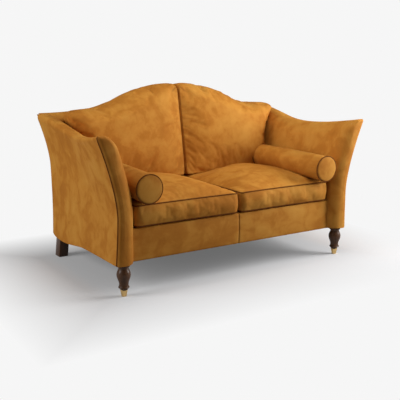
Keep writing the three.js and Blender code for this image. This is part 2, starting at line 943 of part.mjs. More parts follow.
function seatCushion() {
  const inner = cushionMiddleGap / 2 + boxingBulge;
  const outer = seatHalfWidth - cushionSideGap;
  const rear = insideBackY(deckTop) - cushionRearGap - boxingBulge;
  const front = cushionFrontY + boxingBulge;
  const halfX = (outer - inner) / 2;
  const halfY = (rear - front) / 2;
  const foot = (backFootY - seat - front) / halfY - 1;
  const footStep = 5 / 7;
  const spread = (v) =>
    v < footStep
      ? THREE.MathUtils.mapLinear(v, -1, footStep, -1, foot)
      : THREE.MathUtils.mapLinear(v, footStep, 1, foot, 1);
  const block = softBlock(12, 14, 3, (u, step, w) => {
    const v = spread(step);
    const corner = 1 - cornerEaseShare * (u * v) ** 8;
    const bulge = boxingBulge * (1 - w * w);
    const drawnX = (seatDrawIn / halfX) * (1 - v * v);
    const drawnY = (seatDrawIn / halfY) * (1 - u * u);
    const sideX = Math.abs(u) === 1 ? 1 : 0;
    const sideY = Math.abs(v) === 1 ? 1 : 0;
    const x = (inner + outer) / 2 + halfX * u * corner * (1 - drawnX * sideX) + u * sideX * bulge;
    const y = (front + rear) / 2 + halfY * v * corner * (1 - drawnY * sideY) + v * sideY * bulge;
    if (Math.abs(w) < 1) return [x, y, THREE.MathUtils.lerp(lowerSeam, upperSeam, (w + 1) / 2)];
    if (w < 0) {
      const fromEdge = Math.min((1 - Math.abs(u)) * halfX, (1 - Math.abs(v)) * halfY);
      return [x, y, deckTop + seat + roundCut(seatBellyRadius, fromEdge, seatSeamLift)];
    }
    const pressed = THREE.MathUtils.smoothstep(v, foot - restEase / halfY, foot);
    const crown = seatCrown * dome(u) * dome(v) * (1 - pressed);
    const rest = (restRise - seat) * pressed * plateau(u) * plateau(v);
    return [x, y, upperSeam + crown + rest];
  });
  return cut(block, bolster(seat));
}

// Back cushion: its top has the hump, its outer side follows the arm's flare, and both have
// their ridge near the front and round off to the rear
function backCushion() {
  const inner = cushionMiddleGap / 2 + boxingBulge;
  const outerAt = (h) => armInnerX(armLength, Math.min(h, wingHeight)) - cushionSideGap;
  return softBlock(12, 5, 12, (u, v, w) => {
    const corner = 1 - cornerEaseShare * (u * w) ** 8;
    const level = (w * corner + 1) / 2;
    const across = (u * corner + 1) / 2;
    const depth = (v + 1) / 2;
    const fall =
      depth < ridgeShare
        ? ridgeFrontFall * (1 - depth / ridgeShare) ** 2
        : ridgeRearFall * ((depth - ridgeShare) / (1 - ridgeShare)) ** 2;
    const guess = THREE.MathUtils.lerp(backRest, wingHeight, level);
    const roughX = THREE.MathUtils.lerp(inner, outerAt(guess), across);
    const top = humpAt(roughX, backCushionEndHeight, backCushionHeight);
    const z = THREE.MathUtils.lerp(backRest, top, level) - fall * level ** 6;
    const bulge = u === -1 ? boxingBulge * (1 - v * v) : 0;
    const x = THREE.MathUtils.lerp(inner, outerAt(z), across) - bulge;
    const crown = v === -1 ? backCushionCrown * dome(u) * dome(w) : 0;
    const y = insideBackY(z) - seat - backCushionThickness * (1 - depth) - crown;
    return [x - sideFallShare * fall * across ** 6, y, z];
  });
}

// Bolster: swelling a little at the middle, with domed ends
const bolsterFrontY = frontY + bolsterFrontSetBack;
const bolsterZ = upperSeam + bolsterRise + bolsterRadius + bolsterSwell;
const bolsterLength = backFootY - bolsterToBack - bolsterFrontY;
const bolsterXAt = (along) =>
  armInnerX(along, bolsterZ) - bolsterSideGap - bolsterRadius - bolsterSwell;

function bolster(grown) {
  const length = bolsterLength;
  const end = bolsterEndDome + bolsterEndRadius;
  const body = divide(end, length - end, 6);
  const middle = length / 2;
  const swellAt = (at) => bolsterSwell * (1 - ((at - middle) / middle) ** 2);
  const rim = bolsterRadius - bolsterEndRadius;
  const profile = [
    [0, -grown],
    [rim, bolsterEndDome - grown],
    [bolsterRadius - bolsterEndRadius * (1 - Math.SQRT1_2), bolsterEndDome * (2 - Math.SQRT1_2)],
    ...body.map((at) => [bolsterRadius + swellAt(at), at]),
  ];
  const rest = profile.slice(0, 3).toReversed().map(([radius, at]) => [radius, length - at]);
  const points = [...profile, ...rest].map(
    ([radius, at]) => new THREE.Vector2(radius ? radius + grown : 0, at),
  );
  const geometry = new THREE.LatheGeometry(points, turnedSides + 2);
  const inward = (bolsterXAt(armLength) - bolsterXAt(0)) / length;
  const upward = bolsterRearLift / length;
  geometry.applyMatrix4(new THREE.Matrix4().makeShear(0, 0, inward, upward, 0, 0));
  return geometry.translate(bolsterXAt(0), bolsterFrontY, bolsterZ);
}

// Front leg: collar, vase, neck and ring turned from one piece, with a toe inside the brass cup
const legX = footHalfWidth - legInset;
const legY = frontY + legSetBack;
const cupRadiusAt = (h) => THREE.MathUtils.lerp(cupFootRadius, cupTopRadius, h / cupHeight);

function frontLeg() {
  const shoulder = frameHeight - collarHeight - throatHeight;
  const vase = new THREE.SplineCurve([
    new THREE.Vector2(throatRadius, shoulder),
    new THREE.Vector2(vaseRadius, frameHeight - vaseBelow),
    new THREE.Vector2(neckRadius, neckAbove),
    new THREE.Vector2(ringRadius, ringAbove + ringHalfHeight / 2),
  ]);
  const toeTop = cupRadiusAt(cupHeight) - cupWall - seat;
  const toeFoot = cupRadiusAt(cupFloor) - cupWall - seat;
  const collarEdge = collarHeight / 4;
  const profile = [
    [0, cupFloor + seat],
    [toeFoot, cupFloor + seat],
    [toeTop, cupHeight + seat],
    [cupTopRadius, cupHeight + seat],
    [ringRadius - ringHalfHeight / 4, ringAbove - ringHalfHeight / 2],
    [ringRadius, ringAbove],
    ...vase.getPoints(12).map(({ x, y }) => [x, y]).toReversed(),
    [throatRadius, frameHeight - collarHeight],
    [collarRadius - collarEdge, frameHeight - collarHeight],
    [collarRadius, frameHeight - collarHeight + collarEdge],
    [collarRadius, frameHeight - collarEdge],
    [collarRadius - collarEdge, frameHeight],
    [0, frameHeight],
  ];
  return cut(turned(profile), boltSocket());
}

function legCup() {
  const wallTop = cupRadiusAt(cupHeight) - cupWall;
  const wallFoot = cupRadiusAt(cupFloor) - cupWall;
  const lip = cupWall / 2;
  return turned([
    [0, 0],
    [cupFootRadius - lip, 0],
    [cupFootRadius, lip],
    [cupTopRadius, cupHeight - lip],
    [cupTopRadius - lip, cupHeight],
    [wallTop, cupHeight],
    [wallFoot, cupFloor],
    [0, cupFloor],
  ]);
}

// Rear leg: a square stump whose foot stands back
const rearLegX = footHalfWidth + footSplay - rearLegInset - rearLegWidth / 2;
const rearLegTopY = outsideBackY(frameHeight) - rearLegInFromBack - rearLegDepth / 2;
const rearBoltX = (timberInner(armLength, railBottom) + rearLegX + rearLegWidth / 2) / 2;
const rearBoltY = outsideBackY(frameHeight) - backPanelThickness - postThickness / 2;

function rearLeg() {
  const [a, b, c] = [rearLegWidth / 2, rearLegDepth / 2, rearLegChamfer];
  const outline = [
    [-a + c, -b],
    [a - c, -b],
    [a, -b + c],
    [a, b - c],
    [a - c, b],
    [-a + c, b],
    [-a, b - c],
    [-a, -b + c],
  ];
  const stump = extruded(outline, frameHeight);
  stump.applyMatrix4(new THREE.Matrix4().makeShear(0, 0, 0, 0, 0, -rearLegRake / frameHeight));
  stump.translate(rearLegX, rearLegTopY + rearLegRake, 0);
  return cut(stump, boltSocket().translate(rearBoltX, rearBoltY, 0));
}

function bolted(post, x, y) {
  const bore = rod(boltRadius + boltClearance, railBottom - overrun, railBottom + boltUp + seat);
  return cut(post, bore.translate(x, y, 0));
}

function boltSocket() {
  const radius = boltRadius + boltClearance;
  return rod(radius, frameHeight - boltDown - seat, frameHeight + overrun);
}

function legBolt() {
  return rod(boltRadius, frameHeight - boltDown, railBottom + boltUp);
}

// Materials
function finish(color, roughness, metalness = 0) {
  return new THREE.MeshStandardMaterial({ color, roughness, metalness });
}

const leather = finish(0xb87c35, 0.7);
const pipedLeather = finish(0x6f421a, 0.65);
const beech = finish(0xc9a77a, 0.75);
const walnut = finish(0x2e2119, 0.4);
const brass = finish(0xc8a75a, 0.3, 1);
const steel = finish(0x8b8e92, 0.4, 1);
const webbing = finish(0x8a7a5c, 0.9);
const blackCloth = finish(0x1c1c1e, 0.95);

// Assembly
const sofa = new THREE.Group();
sofa.name = "camelback_sofa";

function add(name, geometry, material, x = 0, y = 0) {
  const mesh = new THREE.Mesh(geometry, material);
  mesh.name = name;
  mesh.position.set(x, y, 0);
  sofa.add(mesh);
  return mesh;
}

function addPair(name, geometry, material, x = 0, y = 0) {
  add(`${name}_right`, geometry, material, x, y);
  add(`${name}_left`, geometry, material, -x, y).scale.x = -1;
}

add("front_seat_rail", frontSeatRail(), beech);
add("rear_seat_rail", straightBackRail(railBottom, railTop), beech);
addPair("side_seat_rail", sideSeatRail(), beech);
add("seat_centre_brace", seatBrace(), beech);
addPair("front_corner_block", frontCornerBlock(), beech);
addPair("rear_corner_block", rearCornerBlock(), beech);
addPair("front_arm_post", bolted(frontArmPost(), legX, legY), beech);
addPair("back_post", bolted(backPost(), rearBoltX, rearBoltY), beech);
addPair("arm_top_rail", armTopRail(), beech);
addPair("arm_lower_rail", armLowerRail(), beech);
add("crest_rail", crestRail(), beech);
add("lower_back_rail", straightBackRail(lowerBackRailLow, lowerBackRailTop), beech);
add("back_centre_upright", backUpright(), beech);

const spring = zigzagSpring();
for (let k = 0; k < springCount; k++) {
  add(`seat_spring_${k + 1}`, spring, steel, (k - (springCount - 1) / 2) * springPitch);
}
webPlaceShares.forEach((share, k) => {
  addPair(`back_web_${k + 1}`, backWeb(share * backRailEnd(flareStart)), webbing);
});

add("seat_deck", seatDeck(), leather);
add("front_border", frontBorder(), leather);
addPair("arm_cover", armCover(), leather);
addPair("outside_arm_panel", armPanel(), leather);
addPair("arm_piping", armPiping(), pipedLeather);
add("inside_back", insideBack(), leather);
add("outside_back", outsideBack(), leather);
add("dust_cover", dustCover(), blackCloth);

addPair("seat_cushion", seatCushion(), leather);
addPair("back_cushion", backCushion(), leather);
addPair("bolster", bolster(0), leather);

addPair("front_leg", frontLeg(), walnut, legX, legY);
addPair("leg_cup", legCup(), brass, legX, legY);
addPair("rear_leg", rearLeg(), walnut);
addPair("front_leg_bolt", legBolt(), steel, legX, legY);
addPair("rear_leg_bolt", legBolt(), steel, rearBoltX, rearBoltY);

export default sofa;
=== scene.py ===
"""Dresses a two-seat camelback sofa: brushed leather covers and cushions, turned legs."""

import math

import bmesh
import bpy
from mathutils import Color, Matrix, Vector, noise
from mathutils.bvhtree import BVHTree
from mathutils.kdtree import KDTree


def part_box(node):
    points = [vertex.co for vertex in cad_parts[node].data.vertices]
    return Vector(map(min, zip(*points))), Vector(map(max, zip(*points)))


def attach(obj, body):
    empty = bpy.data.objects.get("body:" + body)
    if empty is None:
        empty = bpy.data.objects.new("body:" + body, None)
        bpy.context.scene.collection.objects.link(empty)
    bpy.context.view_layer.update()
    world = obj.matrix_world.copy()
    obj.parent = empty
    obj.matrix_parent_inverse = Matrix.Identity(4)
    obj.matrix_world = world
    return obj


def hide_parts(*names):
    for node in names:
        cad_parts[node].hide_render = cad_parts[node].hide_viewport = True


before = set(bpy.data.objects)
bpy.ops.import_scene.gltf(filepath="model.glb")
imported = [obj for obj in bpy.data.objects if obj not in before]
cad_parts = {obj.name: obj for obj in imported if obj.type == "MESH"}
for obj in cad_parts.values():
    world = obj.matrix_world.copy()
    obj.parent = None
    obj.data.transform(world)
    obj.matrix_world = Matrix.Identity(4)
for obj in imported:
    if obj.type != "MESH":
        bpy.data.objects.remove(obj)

bl_info = {
    "name": "Camelback Sofa",
    "version": (1, 0, 0),
    "blender": (4, 5, 0),
    "location": "3D View > Sidebar > Sofa",
    "description": "Dresses the frame of a two-seat camelback sofa in leather, timber and brass",
    "category": "Object",
}

SIDES = {"right": 1, "left": -1}
FRAME_BODY = "frame"
SEAT_LOW, SEAT_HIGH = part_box("seat_cushion_right")
BORDER_LOW, BORDER_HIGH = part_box("front_border")
DECK_LOW, DECK_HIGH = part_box("seat_deck")
DUST_LOW, DUST_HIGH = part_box("dust_cover")
LEG_LOW, LEG_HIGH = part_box("front_leg_right")
REAR_LEG_LOW, REAR_LEG_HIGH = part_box("rear_leg_right")
BOLSTER_LOW, BOLSTER_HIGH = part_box("bolster_right")

# Fits between neighbouring pieces and the walls of the covers, in metres
TOUCH = 0.0003
COVER_WALL = 0.004
PANEL_WALL = 0.005
TUCK = 0.0062
EDGE_CURL = 0.0035
CURL_SHARES = (0.0, 0.12, 0.35, 0.65, 1.0)

# The upright seam on each rear corner, as a turn from the side to the back, and half its gap
CORNER_SEAM = math.pi / 4
CORNER_SEAM_HALF = 0.012

# Cushion covers: divisions of their cube, voxels of their remesh, and the cloth that fills them
CUSHION_CUTS = 37
CLOTH_VOXEL = 0.0068
CLOTH_FRAMES = 20
CLOTH_SETTINGS = {
    "quality": 5,
    "mass": 0.25,
    "tension_stiffness": 25,
    "compression_stiffness": 25,
    "shear_stiffness": 12,
    "bending_stiffness": 0.6,
    "use_pressure": True,
    "uniform_pressure_force": 3.0,
}

# Seam lines: points read along each side of a cushion, and their even spacing afterwards
SEAM_PARTS = 160
SEAM_SPACING = 0.004


def length(label, value, description):
    """A length property in metres."""
    return bpy.props.FloatProperty(
        name=label, description=description, default=value, unit="LENGTH", precision=4
    )


def share(label, value, description):
    """A property that is a share of something else."""
    return bpy.props.FloatProperty(
        name=label, description=description, default=value, subtype="FACTOR"
    )


def angle(label, value, description):
    """An angle property, its default given in degrees."""
    return bpy.props.FloatProperty(
        name=label, description=description, default=math.radians(value), subtype="ANGLE"
    )


def colour(label, value, description):
    """A colour property, written as the screen shows it."""
    return bpy.props.FloatVectorProperty(
        name=label,
        description=description,
        default=value,
        size=3,
        min=0,
        max=1,
        subtype="COLOR_GAMMA",
    )


class SofaArmSizes(bpy.types.PropertyGroup):
    """Sizes of the flared arms."""

    foot_half_width: length("Foot", 0.721, "From the middle to an arm's outside below its flare")
    foot_splay: length("Foot splay", 0.01, "How far an arm's outside stands out again at its foot")
    nose_height: length("Front height", 0.785, "Top of an arm at its front")
    dip_height: length("Dip height", 0.744, "Top of an arm at its lowest place")
    dip_from_nose: length("Dip from front", 0.4, "From an arm's front to its lowest place")
    wing_from_nose: length("Wing from front", 0.905, "Where an arm's top has risen to the wing")
    flare: length("Flare", 0.107, "How far the front of an arm leans out at its top")
    flare_start: length("Flare start", 0.39, "Height at which the flare starts")
    rear_flare: length("Rear flare", 0.066, "How far the rear of an arm leans out at its top")
    rear_flare_start: length("Rear flare start", 0.54, "Height at which the rear's flare starts")
    fade_start: length("Fade start", 0.11, "Where the flare starts to ease, from the front")
    fade_end: length("Fade end", 0.57, "Where the flare has eased, from the front")
    thickness: length("Thickness", 0.099, "Thickness of an arm")
    roll_width: length("Roll width", 0.055, "Width of the roll over the inner top edge")
    roll_drop: length("Roll drop", 0.075, "Height of the roll over the inner top edge")
    edge_round: length("Edge round", 0.015, "Rounding of the outer top edge")
    rear_edge_round: length("Rear edge round", 0.034, "Rounding of the outer top edge at the rear")
    lean: length("Front lean", 0.022, "How far an arm's front leans forward at its top")
    fullness: length("Fullness", 0.014, "How far the padded front stands before its outer seam")
    inner_round: length("Inner round", 0.075, "Depth of the rounding of the front's inner edge")
    inner_width: length("Inner width", 0.066, "Width of the rounding of the front's inner edge")
    outer_round: length("Outer round", 0.022, "Width over which the front falls to its outer seam")
    top_round: length("Top round", 0.018, "Rounding of the front's top edge")
    corner_round: length("Corner round", 0.03, "Rounding of the rear outer corner")
    rear_top_round: length("Rear top round", 0.024, "Rounding of the rear top edge")
    seam_drop: length("Seam drop", 0.007, "From the rounded top edge to the outside panel's seam")
    piping: length("Piping", 0.0032, "Radius of the piping down an arm's front")


class SofaBackSizes(bpy.types.PropertyGroup):
    """Sizes of the back and the overall depth."""

    depth: length("Depth", 0.924, "From the arm fronts to the back of the crest")
    frame_height: length("Frame height", 0.158, "From the floor to the underside of the seat frame")
    crest_height: length("Crest height", 0.916, "Top of the back at the middle of the hump")
    wing_height: length("Wing height", 0.824, "Top of the back where it meets the arms")
    crest_thickness: length("Crest thickness", 0.083, "Thickness of the back at its top")
    roll_width: length("Roll width", 0.045, "Width of the roll over the crest's front edge")
    roll_drop: length("Roll drop", 0.06, "Height of the roll over the crest's front edge")
    edge_round: length("Edge round", 0.015, "Rounding of the crest's rear edge")
    rake: angle("Rake", 3.6, "Lean of the outside back")
    inside_rake: angle("Inside rake", 9.7, "Lean of the inside back")


class SofaCushionSizes(bpy.types.PropertyGroup):
    """Sizes of the loose cushions and bolsters."""

    lower_seam: length("Lower seam", 0.33, "Height of a seat cushion's lower seam")
    upper_seam: length("Upper seam", 0.4341, "Height of a seat cushion's upper seam")
    seat_crown: length("Seat crown", 0.068, "How far a seat cushion rises above its upper seam")
    corner: length("Corner", 0.024, "Rounding of a seat cushion's corners seen from above")
    rest_rise: length("Rest rise", 0.018, "From the upper seam to the foot of a back cushion")
    back_thickness: length("Back thickness", 0.166, "Thickness of a back cushion at its seams")
    back_crown: length("Back crown", 0.045, "How far a back cushion's face swells forward")
    back_height: length("Back height", 0.977, "Top of a back cushion at the middle of the sofa")
    back_end_height: length("Back end height", 0.848, "Height of its top, carried on to the wing")
    ridge: share("Ridge", 0.25, "Place of a back cushion's highest line in its thickness")
    ridge_front_fall: length("Ridge front fall", 0.012, "How far its top falls to the front")
    ridge_rear_fall: length("Ridge rear fall", 0.05, "How far its top falls to the rear")
    side_fall: share("Side fall", 0.4, "Part of these falls that rounds its outer side")
    back_gap: length("Back gap", 0.006, "From a back cushion to the arm beside it")
    bulge: length("Bulge", 0.004, "How far a cushion's sides swell between their seams")
    bolster_radius: length("Bolster radius", 0.071, "Radius of a bolster at its ends")
    bolster_swell: length("Bolster swell", 0.004, "How much fuller a bolster is in its middle")
    bolster_rise: length("Bolster rise", 0.008, "From the upper seam to a bolster's underside")
    bolster_lift: length("Bolster lift", 0.011, "How much higher a bolster lies at its rear")
    bolster_gap: length("Bolster gap", 0.006, "From a bolster to the arm beside it")
    piping: length("Piping", 0.003, "Radius of the seat cushions' piping")


class SofaColours(bpy.types.PropertyGroup):
    """Colours of the finishes."""

    leather: colour("Leather", (0.75, 0.488, 0.175), "Brushed leather in its middle tone")
    leather_light: colour("Light nap", (0.865, 0.645, 0.29), "Leather where its nap lies light")
    leather_dark: colour("Dark nap", (0.62, 0.365, 0.105), "Leather where its nap lies dark")
    # Painted seam shade: the darker leather mixed in at the seams and in the piping's hollows,
    # partly seam dirt.
    seam: colour("Seam", (0.3, 0.16, 0.055), "Creased leather in the seams")
    # Darker than the leather as painted shade: the piping is the same leather, in the shadow of its
    # groove.
    piping: colour("Piping", (0.5, 0.29, 0.105), "Leather of the piping")
    walnut: colour("Leg wood", (0.3, 0.185, 0.095), "Stained wood of the legs")
    brass: colour("Brass", (0.86, 0.72, 0.48), "Brass of the cups")
    beech: colour("Frame timber", (0.78, 0.64, 0.46), "Bare timber inside")
    cloth: colour("Deck cloth", (0.62, 0.45, 0.24), "Cloth over the seat deck")
    webbing: colour("Webbing", (0.6, 0.52, 0.4), "Woven straps behind the back")
    floor: colour("Floor", (0.82, 0.82, 0.825), "Studio floor")
    backdrop: colour("Backdrop", (0.965, 0.965, 0.965), "Studio background")


GROUPS = {
    "sofa_arm": SofaArmSizes,
    "sofa_back": SofaBackSizes,
    "sofa_cushions": SofaCushionSizes,
    "sofa_colours": SofaColours,
}

# Camel's hump: distance from the middle and rise, each as a share of its whole
HUMP_SHARES = (
    (0, 1),
    (0.125, 0.986),
    (0.212, 0.925),
    (0.302, 0.81),
    (0.386, 0.657),
    (0.463, 0.475),
    (0.538, 0.275),
    (0.623, 0.125),
    (0.712, 0.06),
    (0.806, 0.02),
    (1, 0),
)

# Lower edge of an outside arm panel from the front: shares of its length and the frame's height
SKIRT_SHARES = (
    (0, 1),
    (0.36, 1),
    (0.5, 0.985),
    (0.6, 0.925),
    (0.71, 0.855),
    (0.82, 0.82),
    (0.92, 0.85),
    (1, 0.95),
)


def clamp(value, low=0.0, high=1.0):
    """The value kept between two limits."""
    return max(low, min(high, value))


def lerp(a, b, t):
    """The value a share t of the way from a to b."""
    return a + (b - a) * t


def smooth(t):
    """An easing from 0 to 1."""
    t = clamp(t)
    return t * t * (3 - 2 * t)


def divide(low, high, steps):
    """Evenly spaced values from low to high."""
    return [lerp(low, high, k / steps) for k in range(steps + 1)]


def through_shares(shares, at):
    """A smooth curve through pairs of shares, flat at both ends."""
    last = len(shares) - 1
    k = max([j for j in range(last) if shares[j][0] <= at] or [0])
    (x0, y0), (x1, y1) = shares[k], shares[k + 1]
    before = shares[k - 1] if k else (2 * x0 - x1, y1)
    after = shares[k + 2] if k + 2 <= last else (2 * x1 - x0, y0)
    span = x1 - x0
    slope0 = (y1 - before[1]) / (x1 - before[0]) * span
    slope1 = (after[1] - y0) / (after[0] - x0) * span
    t = clamp((at - x0) / span)
    start = y0 * (1 + 2 * t) + slope0 * t
    end = y1 * (3 - 2 * t) + slope1 * (t - 1)
    return start * (1 - t) ** 2 + end * t * t


def round_cut(radius, distance, full_cut=None):
    """How much a rounded edge takes off at a distance from it."""
    if distance >= radius:
        return 0.0
    part = 1 - max(0.0, distance) / radius
    return (radius if full_cut is None else full_cut) * (1 - math.sqrt(max(0.0, 1 - part * part)))


def dome(t):
    """A full crown between two seams."""
    return max(0.0, 1 - t * t) ** 0.75


def curl(distance):
    """How far a panel's edge turns in at a distance from its seam."""
    return round_cut(EDGE_CURL, distance)


def spread(low, high, step, steps):
    """A place between two seams, with the first and last steps closer for their turned edges."""
    near = len(CURL_SHARES)
    if step < near:
        return low + EDGE_CURL * CURL_SHARES[step]
    if step > steps - near:
        return high - EDGE_CURL * CURL_SHARES[steps - step]
    return lerp(low + 2.5 * EDGE_CURL, high - 2.5 * EDGE_CURL, (step - near) / (steps - 2 * near))


def ripple(point, scale, seed):
    """Smooth noise from -1 to 1 at a point."""
    return noise.noise(Vector(point) * scale + Vector((seed * 7.3, seed * 3.1, seed * 5.7)))


class BackForm:
    """Surfaces of the back: its outside, its inside and its humped crest."""

    def __init__(self, back, arm):
        self.s = back
        self.rear = back.depth / 2
        self.wing_x = arm.foot_half_width + arm.rear_flare

    def outside_y(self, height):
        """The outside back at a height."""
        return self.rear - (self.s.crest_height - height) * math.tan(self.s.rake)

    def inside_y(self, height):
        """The inside back at a height."""
        fall = (self.s.crest_height - height) * math.tan(self.s.inside_rake)
        return self.rear - self.s.crest_thickness - fall

    def hump(self, x, low, high):
        """A camel's hump between two heights, at a distance from the middle."""
        return lerp(low, high, through_shares(HUMP_SHARES, min(1.0, abs(x) / self.wing_x)))

    def crest(self, x):
        """The top of the back at a distance from the middle."""
        return self.hump(x, self.s.wing_height, self.s.crest_height)


class ArmForm:
    """Surfaces of the right arm, by the distance along it from its front and by height."""

    FLARE_POWER = 1.55
    DIP_FRONT_POWER = 1.7

    def __init__(self, arm, back_form):
        self.s = arm
        self.back = back_form
        self.low = back_form.s.frame_height
        self.length = back_form.outside_y(arm.nose_height) - self.nose_y(arm.nose_height)
        self.corner_start = self.length - arm.corner_round

    def nose_y(self, height):
        """The arm's foremost line at a height."""
        fall = (self.s.nose_height - height) / (self.s.nose_height - self.low)
        return -self.back.rear + self.s.lean * fall

    def y(self, along, height):
        """Distance along the arm as a place; the ends keep their leans."""
        spare = self.back.outside_y(height) - self.nose_y(height) - self.length
        return self.nose_y(height) + along + spare * clamp((along / self.length - 0.2) / 0.6)

    def flare(self, along, height):
        """How far the arm leans out."""
        s = self.s
        eased = smooth((along - s.fade_start) / (s.fade_end - s.fade_start))
        start = lerp(s.flare_start, s.rear_flare_start, eased)
        top = lerp(s.nose_height, self.back.s.wing_height, eased)
        rise = max(0.0, height - start) / (top - start)
        return lerp(s.flare, s.rear_flare, eased) * rise**self.FLARE_POWER

    def outer_x(self, along, height):
        """The arm's outer face."""
        below = max(0.0, self.s.flare_start - height) / (self.s.flare_start - self.low)
        return self.s.foot_half_width + self.s.foot_splay * below**1.5 + self.flare(along, height)

    def inner_x(self, along, height):
        """The arm's inner face below its roll."""
        return self.s.foot_half_width + self.flare(along, height) - self.s.thickness

    def top(self, along):
        """The arm's dipped top line."""
        from_dip = along - self.s.dip_from_nose
        if from_dip < 0:
            rise = self.s.nose_height - self.s.dip_height
            share_before = -from_dip / self.s.dip_from_nose
            return self.s.dip_height + rise * share_before**self.DIP_FRONT_POWER
        risen = smooth(from_dip / (self.s.wing_from_nose - self.s.dip_from_nose))
        return lerp(self.s.dip_height, self.back.s.wing_height, risen)

    def edge(self, along):
        """Rounding of the outer top edge, fuller towards the rear."""
        behind = (along - self.s.dip_from_nose) / (self.length - self.s.dip_from_nose)
        return lerp(self.s.edge_round, self.s.rear_edge_round, smooth(behind))

    def rolled_x(self, along, height):
        """The arm's inner face and the roll above it."""
        top = self.top(along)
        part = clamp((height - top + self.s.roll_drop) / self.s.roll_drop)
        return self.inner_x(along, height) + self.s.roll_width * (1 - math.sqrt(1 - part * part))

    def corner(self, turn, height, radius):
        """A point of the rounded rear corner, turned from the side (0) to the back."""
        centre_x = self.outer_x(self.length, height) - self.s.corner_round
        centre_y = self.y(self.corner_start, height)
        return centre_x + radius * math.cos(turn), centre_y + radius * math.sin(turn)


def forms(context):
    """The arm's and the back's forms for the scene's sizes."""
    scene = context.scene
    back = BackForm(scene.sofa_back, scene.sofa_arm)
    return ArmForm(scene.sofa_arm, back), back


def shade_smooth(mesh):
    """Shades all of a mesh's faces smoothly."""
    mesh.polygons.foreach_set("use_smooth", [True] * len(mesh.polygons))


def new_piece(name, bm):
    """Makes an object of a bmesh, smoothly shaded, and puts it in the scene."""
    mesh = bpy.data.meshes.new(name)
    bm.to_mesh(mesh)
    bm.free()
    shade_smooth(mesh)
    piece = bpy.data.objects.new(name, mesh)
    bpy.context.scene.collection.objects.link(piece)
    return piece


def grid(columns, rows, place, crease=None):
    """A sheet whose points are placed by a function of their column and row numbers."""
    bm = bmesh.new()
    bmesh.ops.create_grid(bm, x_segments=columns, y_segments=rows, size=0.5)
    # The optional layer holds darkening towards the seams: partly seam dirt, partly painted shade.
    layer = bm.verts.layers.float.new("crease") if crease else None
    for vert in bm.verts:
        column = round((vert.co.x + 0.5) * columns)
        row = round((vert.co.y + 0.5) * rows)
        vert.co = place(column, row)
        if layer:
            vert[layer] = crease(column, row)
    return bm


def block(cuts, place):
    """A cube with its faces divided, whose points are placed by a function."""
    bm = bmesh.new()
    bmesh.ops.create_cube(bm, size=2)
    bmesh.ops.subdivide_edges(bm, edges=bm.edges[:], cuts=cuts, use_grid_fill=True)
    for vert in bm.verts:
        vert.co = place(*vert.co)
    bmesh.ops.recalc_face_normals(bm, faces=bm.faces[:])
    return bm


def spun(profile, steps):
    """A turned shape: a profile of radius and height, spun about the Z axis."""
    bm = bmesh.new()
    verts = [bm.verts.new((radius, 0, height)) for radius, height in profile]
    edges = [bm.edges.new(pair) for pair in zip(verts, verts[1:])]
    bmesh.ops.spin(
        bm,
        geom=verts + edges,
        cent=(0, 0, 0),
        axis=(0, 0, 1),
        angle=math.tau,
        steps=steps,
        use_merge=True,
    )
    bmesh.ops.remove_doubles(bm, verts=bm.verts[:], dist=1e-6)
    bmesh.ops.recalc_face_normals(bm, faces=bm.faces[:])
    return bm


def mirrored_to(bm, side):
    """Turns a right-hand shape into a left-hand one where the side asks for it."""
    if side < 0:
        bmesh.ops.scale(bm, vec=(-1, 1, 1), verts=bm.verts[:])
        bmesh.ops.reverse_faces(bm, faces=bm.faces[:])
    return bm


def mirror_piece(piece, side):
    """Turns a finished right-hand mesh into a left-hand one where the side asks for it."""
    bm = bmesh.new()
    bm.from_mesh(piece.data)
    mirrored_to(bm, side).to_mesh(piece.data)
    bm.free()


def facing(bm, outward):
    """Turns a sheet so that most of it faces along a direction given for each place."""
    bm.normal_update()
    votes = 0.0
    for face in bm.faces:
        votes += face.normal.dot(outward(face.calc_center_median())) * face.calc_area()
    if votes < 0:
        bmesh.ops.reverse_faces(bm, faces=bm.faces[:])


def rumple(bm, amount, scale, seed):
    """Moves a sheet's points a little in and out along its normals."""
    bm.normal_update()
    for vert in bm.verts:
        vert.co += vert.normal * amount * ripple(vert.co, scale, seed)


def add_modifier(piece, kind, **settings):
    """Adds a modifier with its settings."""
    modifier = piece.modifiers.new(kind.title(), kind)
    for key, value in settings.items():
        setattr(modifier, key, value)


def subdivide(piece):
    """Smooths a piece with one level of a subdivision surface."""
    add_modifier(piece, "SUBSURF", levels=1, render_levels=1)


def evaluated_mesh(piece):
    """What a piece's modifiers or curve make, as a new mesh."""
    bpy.context.view_layer.update()
    depsgraph = bpy.context.evaluated_depsgraph_get()
    return bpy.data.meshes.new_from_object(piece.evaluated_get(depsgraph))


def apply_modifiers(piece):
    """Keeps what a piece's modifiers make as its own mesh."""
    old = piece.data
    mesh = evaluated_mesh(piece)
    piece.modifiers.clear()
    piece.data = mesh
    bpy.data.meshes.remove(old)
    mesh.name = piece.name
    shade_smooth(mesh)


def cord(name, points, radius, closed=False):
    """A round piping cord through points, as a mesh."""
    curve = bpy.data.curves.new(name, "CURVE")
    curve.dimensions = "3D"
    curve.bevel_depth = radius
    curve.bevel_resolution = 2
    curve.use_fill_caps = not closed
    spline = curve.splines.new("POLY")
    spline.points.add(len(points) - 1)
    for target, point in zip(spline.points, points):
        target.co = (*point, 1)
    spline.use_cyclic_u = closed
    line = bpy.data.objects.new(name, curve)
    bpy.context.scene.collection.objects.link(line)
    mesh = evaluated_mesh(line)
    bpy.data.objects.remove(line)
    bpy.data.curves.remove(curve)
    bm = bmesh.new()
    bm.from_mesh(mesh)
    bpy.data.meshes.remove(mesh)
    bmesh.ops.remove_doubles(bm, verts=bm.verts[:], dist=1e-6)
    bmesh.ops.recalc_face_normals(bm, faces=bm.faces[:])
    return new_piece(name, bm)


